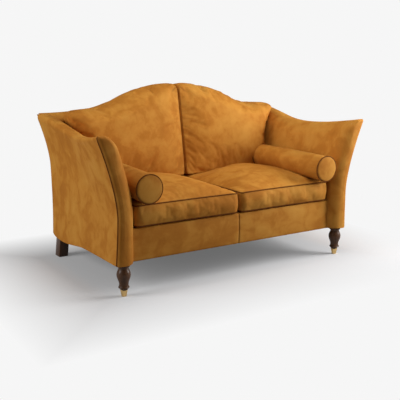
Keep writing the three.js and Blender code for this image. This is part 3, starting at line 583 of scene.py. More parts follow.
def spaced(points, step):
    """Points at an even spacing along a closed line through others."""
    kept = [points[0]]
    carried = 0.0
    for a, b in zip(points, points[1:] + points[:1]):
        run = (b - a).length
        while run > 0 and carried + run >= step:
            a = a.lerp(b, (step - carried) / run)
            run = (b - a).length
            carried = 0.0
            kept.append(a)
        carried += run
    return kept[:-1] if (kept[-1] - kept[0]).length < step / 2 else kept


def nearest_tree(points):
    """A lookup of the nearest of some points."""
    tree = KDTree(len(points))
    for k, point in enumerate(points):
        tree.insert(point, k)
    tree.balance()
    return tree


def inflate(piece, seams, growth, cap, fence):
    """Fills a closed piece by cloth simulation between its seams, which stay where they are."""
    add_modifier(piece, "REMESH", mode="VOXEL", voxel_size=CLOTH_VOXEL)
    apply_modifiers(piece)
    tree = nearest_tree(seams)
    start = [vert.co.copy() for vert in piece.data.vertices]
    held = piece.vertex_groups.new(name="seams")
    near = [k for k, co in enumerate(start) if tree.find(co)[2] < CLOTH_VOXEL * 0.8]
    held.add(near, 1.0, "REPLACE")
    cloth = piece.modifiers.new("Filling", "CLOTH")
    for key, value in CLOTH_SETTINGS.items():
        setattr(cloth.settings, key, value)
    cloth.settings.shrink_min = -growth
    cloth.settings.vertex_group_mass = held.name
    cloth.settings.effector_weights.gravity = 0
    cloth.point_cache.frame_start = 1
    cloth.point_cache.frame_end = CLOTH_FRAMES
    for number in range(1, CLOTH_FRAMES + 1):
        bpy.context.scene.frame_set(number)
    apply_modifiers(piece)
    bpy.context.scene.frame_set(1)
    piece.vertex_groups.clear()
    for vert, before in zip(piece.data.vertices, start):
        move = vert.co - before
        if move.length > cap:
            move *= cap / move.length
        vert.co = fence(before + move)


def stuffed(name, form, seams, slack, growth, cap):
    """A closed cushion, filled by the cloth simulation."""
    fill = slack
    bm = block(CUSHION_CUTS, lambda u, v, w: form.place(u, v, w, fill))
    piece = new_piece(name, bm)
    inflate(piece, seams, growth, cap, form.fence)
    return piece


def settle(piece, passes, fence):
    """Evens out a soft mesh and keeps it within its fence."""
    bm = bmesh.new()
    bm.from_mesh(piece.data)
    for _ in range(passes):
        bmesh.ops.smooth_vert(
            bm, verts=bm.verts[:], factor=0.5, use_axis_x=True, use_axis_y=True, use_axis_z=True
        )
    for vert in bm.verts:
        vert.co = fence(vert.co)
    bm.to_mesh(piece.data)
    bm.free()


def mark_seam_dirt_and_shade(piece, seams, reach):
    """Stores how close each point is to a seam, for the leather's darker seams: partly seam dirt,
    partly painted shade in the seams' grooves.
    """
    tree = nearest_tree(seams)
    crease = piece.data.attributes.new("crease", "FLOAT", "POINT")
    for k, vert in enumerate(piece.data.vertices):
        crease.data[k].value = math.exp(-((tree.find(vert.co)[2] / reach) ** 2))


def onto(piece, points, lift):
    """Points of a line brought to the nearest place of a piece's surface."""
    bm = bmesh.new()
    bm.from_mesh(piece.data)
    tree = BVHTree.FromBMesh(bm)
    found = [tree.find_nearest(point) for point in points]
    bm.free()
    return [place + normal * lift for place, normal, _, _ in found]


class Value:
    """A shader value whose Python operators add Math nodes."""

    def __init__(self, finish, socket):
        self.finish = finish
        self.socket = socket

    def maths(self, operation, *values):
        """The result of a Math node on this value and others."""
        inputs = dict(enumerate((self, *values)))
        return self.finish.value("ShaderNodeMath", {"operation": operation}, inputs)

    def __add__(self, value):
        return self.maths("ADD", value)

    def __sub__(self, value):
        return self.maths("SUBTRACT", value)

    def __rsub__(self, value):
        inputs = {0: value, 1: self}
        return self.finish.value("ShaderNodeMath", {"operation": "SUBTRACT"}, inputs)

    def __mul__(self, value):
        return self.maths("MULTIPLY", value)

    __radd__ = __add__
    __rmul__ = __mul__


class Finish:
    """A material in the making."""

    def __init__(self, name):
        self.material = bpy.data.materials.new(name)
        self.material.use_nodes = True
        self.tree = self.material.node_tree
        self.tree.nodes.clear()
        self.place = self.value("ShaderNodeTexCoord", output="Object")

    def node(self, kind, settings=None, inputs=None):
        """Adds a node of a type, makes its settings, then fills its sockets."""
        node = self.tree.nodes.new(kind)
        for key, value in (settings or {}).items():
            if key == "stops":
                elements = node.color_ramp.elements
                while len(elements) < len(value):
                    elements.new(0.5)
                for stop, (at, level) in zip(elements, value):
                    stop.position = at
                    stop.color = (level, level, level, 1)
            else:
                setattr(node, key, value)
        for key, value in (inputs or {}).items():
            if isinstance(value, Value):
                self.tree.links.new(value.socket, node.inputs[key])
            else:
                node.inputs[key].default_value = value
        return node

    def value(self, kind, settings=None, inputs=None, output=0):
        """Adds a node and gives one of its outputs."""
        return Value(self, self.node(kind, settings, inputs).outputs[output])

    def mapped(self, scale=(1, 1, 1), shift=(0, 0, 0)):
        """Object coordinates scaled and shifted."""
        inputs = {"Vector": self.place, "Location": shift, "Scale": scale}
        return self.value("ShaderNodeMapping", None, inputs, "Vector")

    def cloud(self, vector, scale, detail=3.0, roughness=0.55, distortion=0.0):
        """Noise about 0.5."""
        inputs = {
            "Vector": vector,
            "Scale": scale,
            "Detail": detail,
            "Roughness": roughness,
            "Distortion": distortion,
        }
        return self.value("ShaderNodeTexNoise", None, inputs, "Fac")

    def ramp(self, value, *stops):
        """A value passed through stops of position and level."""
        return self.value("ShaderNodeValToRGB", {"stops": stops}, {"Fac": value}, "Color")

    def mix(self, factor, a, b):
        """A mix of two colours."""
        return self.value("ShaderNodeMix", {"data_type": "RGBA"}, {0: factor, 6: a, 7: b}, 2)

    def bump(self, height, strength, distance, normal=None):
        """A bumped normal."""
        inputs = {"Height": height, "Strength": strength, "Distance": distance}
        if normal:
            inputs["Normal"] = normal
        return self.value("ShaderNodeBump", None, inputs, "Normal")

    def surface(self, **inputs):
        """Ends the material in a Principled shader; underscores stand for spaces."""
        named = {key.replace("_", " "): value for key, value in inputs.items()}
        shader = self.value("ShaderNodeBsdfPrincipled", None, named, "BSDF")
        self.node("ShaderNodeOutputMaterial", None, {"Surface": shader})
        return self.material


def linear(shade, level=1.0):
    """A screen colour as the shader wants it, darker by a level."""
    converted = Color(shade).from_srgb_to_scene_linear()
    return (*(channel * level for channel in converted), 1)


def leather(name, colours, stretch=(1, 1, 1), seed=0.0, streaks=0.15):
    """Brushed leather with a short nap, lighter and darker where it lies differently."""
    made = Finish(name)
    shift = (seed * 1.7, seed * 2.3, seed * 0.9)
    place = made.mapped(shift=shift)
    brushed = made.mapped(stretch, shift)
    broad = made.cloud(place, 3.2, 2.0, 0.5, 0.8)
    patches = made.cloud(place, 11.0, 3.0, 0.55, 0.6)
    strokes = made.cloud(brushed, 26.0, 3.0, 0.6, 0.3)
    nap = made.cloud(place, 420.0, 3.0, 0.6)
    lie = broad * 0.4 + patches * (0.6 - streaks) + strokes * streaks
    light = made.ramp(lie, (0.46, 0.0), (0.66, 1.0))
    dark = made.ramp(lie, (0.34, 1.0), (0.52, 0.0))
    shade = made.mix(light * 0.55, linear(colours.leather), linear(colours.leather_light))
    shade = made.mix(dark * 0.6, shade, linear(colours.leather_dark))
    shade = made.mix(nap * 0.22, shade, linear(colours.leather_dark, 0.85))
    # Darker towards the seams, where the seam colour is mixed in: partly seam dirt, partly painted
    # shade.
    crease = made.value("ShaderNodeAttribute", {"attribute_name": "crease"}, None, "Fac")
    shade = made.mix(crease * 0.6, shade, linear(colours.seam))
    pores = made.value("ShaderNodeTexVoronoi", None, {"Vector": place, "Scale": 620.0}, "Distance")
    fine = made.bump(nap + pores * 0.35, 0.3, 0.0006)
    return made.surface(
        Base_Color=shade,
        Roughness=0.72 + nap * 0.16 - light * 0.05,
        Normal=made.bump(patches, 0.35, 0.004, fine),
        Specular_IOR_Level=0.12,
        Sheen_Weight=0.1,
        Sheen_Roughness=0.45,
        Sheen_Tint=linear(colours.leather_light),
    )


def cord_leather(name, colours):
    """Leather drawn round a piping cord, darker in the hollows of its bumped folds as painted
    shade.
    """
    made = Finish(name)
    folds = made.cloud(made.mapped(), 160.0, 3.0, 0.6)
    # The seam colour in the folds' hollows is painted shade.
    shade = made.mix(folds * 0.5 + 0.35, linear(colours.seam), linear(colours.piping))
    return made.surface(
        Base_Color=shade,
        Roughness=0.66 + folds * 0.2,
        Normal=made.bump(folds, 0.4, 0.0008),
        Specular_IOR_Level=0.06,
    )


def wood(name, shade, grain, roughness, coat=0.0):
    """Timber whose grain runs along the axis in which the pattern is stretched."""
    made = Finish(name)
    base = linear(shade)
    rings = made.cloud(made.mapped(grain), 26.0, 5.0, 0.6, 1.2)
    pores = made.cloud(made.mapped(tuple(4 * part for part in grain)), 60.0, 3.0, 0.7)
    figure = made.ramp(rings, (0.35, 0.0), (0.65, 1.0))
    dark, light = linear(shade, 0.55), linear(shade, 1.4)
    streaked = made.mix(pores * 0.35, made.mix(figure, dark, light), base)
    return made.surface(
        Base_Color=streaked,
        Roughness=roughness + pores * 0.15,
        Normal=made.bump(pores, 0.2, 0.0005),
        Specular_IOR_Level=0.2,
        Coat_Weight=coat,
        Coat_Roughness=0.25,
    )


def brass(name, shade):
    """Turned brass with a soft, lightly handled polish."""
    made = Finish(name)
    lines = made.cloud(made.mapped((1, 1, 30)), 60.0, 2.0, 0.5)
    smudges = made.cloud(made.mapped(), 90.0, 3.0, 0.6)
    return made.surface(
        Base_Color=made.mix(smudges * 0.5, linear(shade), linear(shade, 0.72)),
        Metallic=1.0,
        Roughness=0.24 + smudges * 0.18,
        Normal=made.bump(lines, 0.12, 0.0003),
    )


def steel(name):
    """Drawn steel wire and bolts, dulled by oil."""
    made = Finish(name)
    dull = made.cloud(made.mapped(), 140.0, 3.0, 0.6)
    return made.surface(
        Base_Color=made.mix(dull, (0.36, 0.36, 0.38, 1), (0.22, 0.22, 0.23, 1)),
        Metallic=0.9,
        Roughness=0.35 + dull * 0.25,
    )


def woven(name, shade, thread):
    """Plain-woven cloth with its threads along the axes."""
    made = Finish(name)
    cells = math.tau / thread
    split = made.node("ShaderNodeSeparateXYZ", None, {0: made.mapped()})
    across, deep, tall = (Value(made, split.outputs[key]) for key in ("X", "Y", "Z"))
    warp = (across * cells).maths("SINE")
    weft = ((deep + tall) * cells).maths("SINE")
    weave = warp * weft * 0.5 + 0.5
    fibres = made.cloud(made.mapped(), 240.0, 3.0, 0.6)
    return made.surface(
        Base_Color=made.mix(weave * 0.45 + fibres * 0.4, linear(shade), linear(shade, 0.55)),
        Roughness=0.85 + fibres * 0.1,
        Normal=made.bump(weave, 0.5, thread * 0.2),
    )


def shared_material(name, maker, *args, **kwargs):
    """A material by name, made the first time that it is asked for."""
    return bpy.data.materials.get(name) or maker(name, *args, **kwargs)


def sofa_leather(context, name, **settings):
    """One of the sofa's leathers, each with its own lie of the nap."""
    return shared_material(f"leather_{name}", leather, context.scene.sofa_colours, **settings)


def shaded_piping_leather(context):
    """The leather of the piping, darkened as painted shade."""
    return shared_material("dark_piping", cord_leather, context.scene.sofa_colours)


def leg_wood(context):
    """The stained wood of the legs."""
    stain = context.scene.sofa_colours.walnut
    return shared_material(
        "walnut_legs", wood, stain, grain=(1, 1, 0.12), roughness=0.38, coat=0.15
    )


def finish_piece(piece, body, replaced, slot, material):
    """Gives a piece its finish, its body and the CAD nodes that it stands for."""
    piece.data.materials.clear()
    piece.data.materials.append(material)
    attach(piece, body)
    if replaced:
        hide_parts(*replaced)


def add_cover(context, name, bm, wall, node, fill, lie, **settings):
    """Makes a sheet into a sewn cover of the frame, in the leather with that lie of the nap."""
    piece = new_piece(name, bm)
    add_modifier(piece, "SOLIDIFY", thickness=wall, offset=-1, use_even_offset=False)
    subdivide(piece)
    material = sofa_leather(context, lie, **settings)
    finish_piece(piece, FRAME_BODY, [node], "leather", material)


def finish_cushion(context, piece, side, node, fill, lie, **settings):
    """Finishes a loose cushion, which rides on a body of its own."""
    mirror_piece(piece, side)
    subdivide(piece)
    material = sofa_leather(context, lie, **settings)
    finish_piece(piece, f"{node}_body", [node], "leather", material)


def add_piping(context, name, points, radius, side, body, replaced=(), closed=False):
    """A piping cord along a right-hand line, in its leather."""
    line = [Vector((side * point.x, point.y, point.z)) for point in points]
    piece = cord(name, line, radius, closed)
    # The piping's leather is darkened as painted shade.
    finish_piece(piece, body, replaced, "piped_leather", shaded_piping_leather(context))


class SOFA_OT_stage(bpy.types.Operator):
    """Adds the floor, the lights, the background and the camera"""

    bl_idname = "sofa.stage"
    bl_label = "Stage"

    FLOOR_SIZE = 14
    FLOOR_BOUNCE = 0.38  # of the floor's colour, for the light that it throws back
    FOOTPRINT = (0.8, 0.45)
    # At the footprint the camera still sees a 0.15 share of the glowing background: painted light
    # that lifts the sofa's shadow on the floor.
    FADE = ((0.0, 0.15), (0.5, 1.0))  # distance from the footprint, share of the background
    WORLD_STRENGTH = 0.09
    # Name, place, edge and power of the soft square lamps, and the place at which they aim
    LAMPS = (
        ("key", (2.0, -1.2, 1.2), 1.2, 58),
        ("top", (0.0, -0.6, 2.1), 1.4, 16.5),
        ("side", (-4.0, 0.3, 1.9), 2.0, 92),
    )
    LAMP_AIM = (0, 0, 0.45)
    CAMERA_PLACE = (-2.0982, -3.2759, 1.1296)
    CAMERA_FACING = (0.5299, 0.8236, -0.2023)
    SENSOR_WIDTH = 36
    LENS = 62.54

    def execute(self, context):
        scene = context.scene
        colours = scene.sofa_colours
        scene.view_settings.view_transform = "Standard"
        bm = bmesh.new()
        bmesh.ops.create_grid(bm, x_segments=8, y_segments=8, size=self.FLOOR_SIZE)
        floor = new_piece("studio_floor", bm)
        floor.data.materials.append(self.floor_paint(colours))
        scene.world = self.background(colours)
        for lamp in self.LAMPS:
            self.lamp(context, *lamp)
        self.camera(context)
        return {"FINISHED"}

    def floor_paint(self, colours):
        """A pale floor that fades into the background away from the sofa; under the sofa its glow
        lifts the shadow as painted light.
        """
        made = Finish("studio_floor")
        tone = made.cloud(made.mapped(), 0.6, 2.0)
        shade = made.mix(tone * 0.1, linear(colours.floor), linear(colours.floor, 0.95))
        split = made.node("ShaderNodeSeparateXYZ", None, {0: made.place})
        beside = Value(made, split.outputs["X"]).maths("ABSOLUTE") - self.FOOTPRINT[0]
        before = Value(made, split.outputs["Y"]).maths("ABSOLUTE") - self.FOOTPRINT[1]
        away = made.ramp(beside.maths("MAXIMUM", before), *self.FADE)
        path = made.node("ShaderNodeLightPath")
        rays = ("Is Camera Ray", "Is Glossy Ray", "Is Transmission Ray")
        camera, glossy, clear = (Value(made, path.outputs[ray]) for ray in rays)
        seen = (camera + glossy + clear).maths("MINIMUM", 1.0)
        shade = made.mix(seen, linear(colours.floor, self.FLOOR_BOUNCE), shade)
        matt = made.value("ShaderNodeBsdfDiffuse", None, {"Color": shade})
        pale = made.value("ShaderNodeEmission", None, {"Color": linear(colours.backdrop)})
        mixed = made.value("ShaderNodeMixShader", None, {0: seen * away, 1: matt, 2: pale})
        made.node("ShaderNodeOutputMaterial", None, {"Surface": mixed})
        return made.material

    def background(self, colours):
        """A world that lights softly and shows the camera a pale background."""
        world = bpy.data.worlds.new("studio")
        world.use_nodes = True
        tree = world.node_tree
        tree.nodes.clear()
        path = tree.nodes.new("ShaderNodeLightPath")
        lit = tree.nodes.new("ShaderNodeBackground")
        seen = tree.nodes.new("ShaderNodeBackground")
        mixed = tree.nodes.new("ShaderNodeMixShader")
        end = tree.nodes.new("ShaderNodeOutputWorld")
        lit.inputs["Color"].default_value = (1, 1, 1, 1)
        lit.inputs["Strength"].default_value = self.WORLD_STRENGTH
        seen.inputs["Color"].default_value = linear(colours.backdrop)
        tree.links.new(path.outputs["Is Camera Ray"], mixed.inputs[0])
        tree.links.new(lit.outputs[0], mixed.inputs[1])
        tree.links.new(seen.outputs[0], mixed.inputs[2])
        tree.links.new(mixed.outputs[0], end.inputs["Surface"])
        return world

    def lamp(self, context, name, place, size, power):
        """A soft square lamp aimed at the seat."""
        data = bpy.data.lights.new(name, "AREA")
        data.shape = "SQUARE"
        data.size = size
        data.energy = power
        light = bpy.data.objects.new(name, data)
        light.location = place
        facing_seat = Vector(self.LAMP_AIM) - Vector(place)
        light.rotation_euler = facing_seat.to_track_quat("-Z", "Y").to_euler()
        context.scene.collection.objects.link(light)

    def camera(self, context):
        """The camera at the photograph's angle."""
        data = bpy.data.cameras.new("photograph")
        data.sensor_width = self.SENSOR_WIDTH
        data.lens = self.LENS
        camera = bpy.data.objects.new("photograph", data)
        camera.location = self.CAMERA_PLACE
        facing_sofa = Vector(self.CAMERA_FACING)
        camera.rotation_euler = facing_sofa.to_track_quat("-Z", "Y").to_euler()
        context.scene.collection.objects.link(camera)
        context.scene.camera = camera


class SOFA_OT_arm_covers(bpy.types.Operator):
    """Adds the padded covers over the arms' insides, tops and fronts"""

    bl_idname = "sofa.arm_covers"
    bl_label = "Arm covers"

    FACE_STEPS, ROLL_STEPS, TOP_STEPS, EDGE_STEPS = 20, 9, 6, 5
    NOSE_STEPS, LENGTH_STEPS, CORNER_STEPS = 8, 26, 6
    DRAWN_ROWS = (1.0, 0.75, 0.5, 0.25)
    BEHIND_NOSE = (0.0022, 0.0042, 0.008, 0.012)
    SEAM_WIDTH = 0.003
    UPPER_CUT = 0.62  # share of the inner rounding that is left near the top, over the frame

    def section(self, arm, top, turned):
        """Share across and height of each point, from the inner foot over the top and down."""
        s, low = arm.s, arm.low
        roll, edge = s.roll_width / s.thickness, turned / s.thickness
        inner = [(0.14, low + 0.002), (0.03, low)]
        inner += [(0, h) for h in divide(low + 0.003, top - s.roll_drop, self.FACE_STEPS)]
        for a in divide(0, math.pi / 2, self.ROLL_STEPS)[1:]:
            inner.append((roll * (1 - math.cos(a)), top - s.roll_drop * (1 - math.sin(a))))
        flat = [(lerp(roll, 1 - edge, t), top) for t in divide(0, 1, self.TOP_STEPS)[1:-1]]
        outer = []
        for a in divide(math.pi / 2, 0, self.EDGE_STEPS):
            outer.append((1 - edge * (1 - math.cos(a)), top - turned * (1 - math.sin(a))))
        seam = top - turned - s.seam_drop
        outer += [(1, seam + 0.001), (1, seam - 0.001)]
        rest = len(inner) - len(outer) - 3
        outer += [(1, h) for h in divide(seam - 0.008, low + 0.003, rest)]
        return inner + flat + outer + [(0.97, low), (0.86, low + 0.002)]

    def stations(self, arm):
        """Distance along the arm and how far a row is drawn in to the middle of the front."""
        s = arm.s
        rows = [(0.0, drawn) for drawn in self.DRAWN_ROWS]
        for a in divide(0, math.pi / 2, self.NOSE_STEPS):
            rows.append((s.fullness * (1 - math.cos(a)), 0))
        rows += [(s.fullness + behind, 0) for behind in self.BEHIND_NOSE]
        rows += [(a, 0) for a in divide(s.fullness + self.BEHIND_NOSE[-1], s.inner_round, 5)[1:-1]]
        rows += [(a, 0) for a in divide(s.inner_round, s.fade_start, 3)]
        rows += [(a, 0) for a in divide(s.fade_start, arm.corner_start, self.LENGTH_STEPS)[1:]]
        for a in divide(0, math.pi / 2, self.CORNER_STEPS)[1:]:
            rows.append((arm.corner_start + s.corner_round * math.sin(a), 0))
        return rows + [(arm.length, -1)]

    def place(self, arm, row, points, k):
        """A point of the cover."""
        s = arm.s
        along, drawn = row
        across, height = points[k]
        rear = arm.length - along
        top = points[len(points) // 2][1]
        seam = top - arm.edge(along) - s.seam_drop
        out_cut = round_cut(s.fullness, along, s.outer_round) + round_cut(s.corner_round, rear)
        tucked = along > s.fullness + self.SEAM_WIDTH and across > 0.5 and height < seam
        if drawn > 0:
            twin = points[len(points) - 1 - k][1]
            height = lerp(height, min((height + twin) / 2, top - 0.03), drawn)
        if drawn < 0:
            height = min(height, seam - self.SEAM_WIDTH)
        in_cut = round_cut(s.inner_round, along, s.inner_width)
        in_cut *= lerp(1.0, self.UPPER_CUT, smooth((height - top + 0.16) / 0.13))
        inner, outer = arm.inner_x(along, height) + in_cut, arm.outer_x(along, height) - out_cut
        x, y = lerp(inner, outer, across), arm.y(along, height)
        if drawn > 0:
            x = lerp(x, (inner + outer) / 2, drawn)
            y -= 0.0006 * math.sin(drawn * math.pi / 2)
        if tucked:
            x -= TUCK * (1 if rear > s.corner_round * 0.3 else 0.4)
        if rear < s.rear_top_round and height < seam:
            y -= TUCK * (1 - rear / s.rear_top_round)
        return Vector((x, y, height))

    def execute(self, context):
        arm, _ = forms(context)
        s = arm.s
        rows = self.stations(arm)
        sections = []
        for along, _ in rows:
            cut = round_cut(s.top_round, along) + round_cut(s.rear_top_round, arm.length - along)
            sections.append(self.section(arm, arm.top(along) - cut, arm.edge(along)))
        last = len(sections[0]) - 1
        centre = s.foot_half_width - s.thickness / 2

        def place(column, row):
            return self.place(arm, rows[row], sections[row], column)

        # Painted shade in the groove between the front's piping and the padded nose, on the rows at
        # the seam.
        def crease(column, row):
            along, drawn = rows[row]
            if drawn or along > s.fullness + self.SEAM_WIDTH or column < last * 0.55:
                return 0.0
            return smooth((along / s.fullness - 0.3) / 0.5)

        def outward(at):
            return Vector((at.x - centre - 0.6 * arm.flare(0, at.z), 0, at.z - 0.5))

        for name, side in SIDES.items():
            bm = grid(last, len(rows) - 1, place, crease)
            bmesh.ops.remove_doubles(bm, verts=bm.verts[:], dist=1e-5)
            bmesh.ops.recalc_face_normals(bm, faces=bm.faces[:])
            facing(bm, outward)
            rumple(bm, amount=0.0012, scale=9.0, seed=3.0 + side)
            add_cover(
                context,
                f"arm_cover_dressed_{name}",
                mirrored_to(bm, side),
                COVER_WALL,
                f"arm_cover_{name}",
                fill=0.8,
                lie=f"arm_{name}",
                stretch=(1, 1, 0.3),
                seed=2.0 + side,
            )
        return {"FINISHED"}


class SOFA_OT_arm_panels(bpy.types.Operator):
    """Adds the outside arm panels with their shaped lower edge"""

    bl_idname = "sofa.arm_panels"
    bl_label = "Outside arm panels"

    ROWS = 44
    COLUMNS = 60
    START = 0.0034  # from the front's seam to the panel's front edge
    OVERLAP = 0.004  # how far the panel's top stands over its seam

    def execute(self, context):
        arm, _ = forms(context)
        s = arm.s
        start = s.fullness + self.START
        bend = s.corner_round * (CORNER_SEAM - CORNER_SEAM_HALF)
        whole = arm.corner_start - start + bend

        def place(column, row):
            run = spread(0, whole, column, self.COLUMNS)
            turn = max(0.0, start + run - arm.corner_start) / s.corner_round
            along = min(start + run, arm.corner_start + s.corner_round * math.sin(turn))
            low = arm.low * through_shares(SKIRT_SHARES, along / arm.length) + TOUCH
            top = arm.top(along) - arm.edge(along) - s.seam_drop + self.OVERLAP
            height = spread(low, top, row, self.ROWS)
            cut = curl(height - low) + max(curl(run), curl(whole - run))
            cut -= 0.0007 * clamp(1 - (top - height) / 0.01)
            if turn > 0:
                return Vector((*arm.corner(turn, height, s.corner_round - cut), height))
            return Vector((arm.outer_x(along, height) - cut, arm.y(along, height), height))

        for name, side in SIDES.items():
            bm = grid(self.COLUMNS, self.ROWS, place)
            facing(bm, lambda at: Vector((1, 0, 0)))
            rumple(bm, amount=0.0009, scale=7.0, seed=11.0 + side)
            add_cover(
                context,
                f"outside_arm_dressed_{name}",
                mirrored_to(bm, side),
                PANEL_WALL,
                f"outside_arm_panel_{name}",
                fill=0.9,
                lie=f"arm_{name}",
            )
        return {"FINISHED"}


class SOFA_OT_arm_piping(bpy.types.Operator):
    """Adds the dark piping down the arms' fronts"""

    bl_idname = "sofa.arm_piping"
    bl_label = "Arm piping"

    OUT = 0.0004  # how far the cord's middle stands out of the arm's outer face
    OVER_TOP = (0.006, 0.012, 0.018)

    def execute(self, context):
        arm, _ = forms(context)
        s = arm.s
        along = s.fullness + 0.0005
        top = arm.top(along)
        line = []
        for height in divide(arm.low + 0.004, top - s.edge_round, 60):
            x = arm.outer_x(along, height) + self.OUT
            line.append(Vector((x, arm.y(along, height), height)))
        for a in divide(0, math.pi / 2, 8)[1:]:
            height = top - s.edge_round * (1 - math.sin(a)) - 0.003
            x = arm.outer_x(along, height) + self.OUT - (s.edge_round - 0.002) * (1 - math.cos(a))
            line.append(Vector((x, arm.y(along, height), height)))
        end = line[-1]
        line += [end + Vector((-reach, 0.0006, -0.05 * reach)) for reach in self.OVER_TOP]
        for name, side in SIDES.items():
            cord_name, nodes = f"arm_piping_dressed_{name}", [f"arm_piping_{name}"]
            add_piping(context, cord_name, line, s.piping, side, FRAME_BODY, nodes)
        return {"FINISHED"}


class SOFA_OT_front_border(bpy.types.Operator):
    """Adds the padded border below the seat cushions with its middle seam"""

    bl_idname = "sofa.front_border"
    bl_label = "Front border"

    ROUND_OVER = 0.006
    FULLNESS = 0.0035
    GROOVE = 0.0032
    SEAM_COLUMNS = (0.0, 0.0006, 0.0016, 0.003, 0.006, 0.012)
    INTO_ARM = (0.015, 0.03)

    def execute(self, context):
        low, high = BORDER_LOW, BORDER_HIGH
        over = self.ROUND_OVER
        profile = [(high.y, low.z + 0.002), (low.y + over, low.z), (low.y + 0.0015, low.z + 0.0012)]
        profile += [(low.y, z) for z in divide(low.z + 0.005, high.z - over, 12)]
        for a in divide(0, math.pi / 2, 5)[1:]:
            lift = over * math.sin(a)
            profile.append((low.y + over * (1 - math.cos(a)), high.z - over + lift))
        profile.append((high.y, high.z - 0.0005))
        half = [*self.SEAM_COLUMNS, *divide(0.025, high.x, 24)]
        half += [high.x + past for past in self.INTO_ARM]
        across = [-x for x in reversed(half[1:])] + half

        def place(column, row):
            x = across[column]
            y, z = profile[row]
            rise = 2 * clamp((z - low.z) / (high.z - low.z)) - 1
            full = self.FULLNESS * (1 - clamp(abs(x) / high.x) ** 10)
            full += 0.0012 * ripple((x, 0, z), 7.0, 2.0)
            groove = self.GROOVE * math.exp(-((x / 0.0035) ** 2))
            face = dome(rise) if 2 < row < len(profile) - 1 else 0.0
            return Vector((x, y - full * face + groove, z))

        # Painted shade in the groove of the middle seam, partly seam dirt.
        def crease(column, row):
            return math.exp(-((across[column] / 0.0026) ** 2))

        bm = grid(len(across) - 1, len(profile) - 1, place, crease)
        facing(bm, lambda at: Vector((0, -1, 0)))
        add_cover(
            context,
            "front_border_dressed",
            bm,
            COVER_WALL,
            "front_border",
            fill=0.9,
            lie="border",
            stretch=(0.5, 1, 1),
            seed=9.0,
        )
        return {"FINISHED"}


class SOFA_OT_inside_back(bpy.types.Operator):
    """Adds the inside back with the roll over its humped crest"""

    bl_idname = "sofa.inside_back"
    bl_label = "Inside back"

    COLUMNS = 120
    INTO_ARM = 0.03
    # Share through the depth and drop below the crest of the points turned in behind it
    BEHIND = ((1, 0.0212), (0.92, 0.0224), (0.91, 0.045))

    def profile(self, back, x):
        """Share through the back's depth and height of each point from the foot over the crest."""
        s = back.s
        top = back.crest(x)
        edge = s.edge_round / s.crest_thickness
        points = [(0.0, h) for h in divide(DECK_LOW.z, top - s.roll_drop, 12)]
        for a in divide(0, math.pi / 2, 9)[1:]:
            part = s.roll_width / s.crest_thickness * (1 - math.cos(a))
            points.append((part, top - s.roll_drop * (1 - math.sin(a))))
        points += [(lerp(points[-1][0], 1 - edge, t), top) for t in (0.33, 0.66)]
        for a in divide(math.pi / 2, 0, 5):
            points.append((1 - edge * (1 - math.cos(a)), top - s.edge_round * (1 - math.sin(a))))
        return points + [(part, top - drop) for part, drop in self.BEHIND]

    def execute(self, context):
        arm, back = forms(context)
        rear = arm.length - back.s.crest_thickness * 0.5
        rows = len(self.profile(back, 0)) - 1

        def place(column, row):
            across = 2 * column / self.COLUMNS - 1
            height = self.profile(back, across * arm.s.foot_half_width)[row][1]
            face = arm.rolled_x(rear, min(height, arm.top(rear) - 0.0005))
            x = across * (face + self.INTO_ARM)
            part, height = self.profile(back, x)[row]
            depth = back.outside_y(height) - back.inside_y(height)
            return Vector((x, back.inside_y(height) + depth * part, height))

        bm = grid(self.COLUMNS, rows, place)
        facing(bm, lambda at: Vector((0, -1, 0.6)))
        rumple(bm, amount=0.001, scale=8.0, seed=21.0)
        add_cover(
            context,
            "inside_back_dressed",
            bm,
            COVER_WALL,
            "inside_back",
            fill=0.85,
            lie="inside_back",
            seed=13.0,
        )
        return {"FINISHED"}


class SOFA_OT_outside_back(bpy.types.Operator):
    """Adds the outside back panel, turned round the rear corners"""

    bl_idname = "sofa.outside_back"
    bl_label = "Outside back"

    ROWS = 44
    STEPS = 60

    def execute(self, context):
        arm, back = forms(context)
        full = arm.s.corner_round
        seam = CORNER_SEAM + CORNER_SEAM_HALF
        turns = [(turn, 1.0) for turn in divide(seam, math.pi / 2, 5)]
        half = turns + [(math.pi / 2, 1 - t) for t in divide(0, 1, self.STEPS)[1:]]
        whole = half + [(turn, -across) for turn, across in reversed(half[:-1])]

        def place(column, row):
            turn, across = whole[column]
            x_top = abs(across) * (back.wing_x - full) + full * math.cos(turn)
            top = back.crest(x_top) - arm.s.seam_drop - TOUCH
            low = arm.low + TOUCH
            height = spread(low, top, row, self.ROWS)
            cut = max(curl(top - height), curl(height - low), curl((turn - seam) * full))
            x, y = arm.corner(turn, height, full - cut)
            return Vector((x * across, y, height))

        bm = grid(len(whole) - 1, self.ROWS, place)
        facing(bm, lambda at: Vector((0, 1, 0)))
        rumple(bm, amount=0.0009, scale=6.0, seed=31.0)
        add_cover(
            context,
            "outside_back_dressed",
            bm,
            PANEL_WALL,
            "outside_back",
            fill=0.9,
            lie="outside_back",
            stretch=(1, 1, 0.2),
            seed=17.0,
            streaks=0.45,
        )
        return {"FINISHED"}


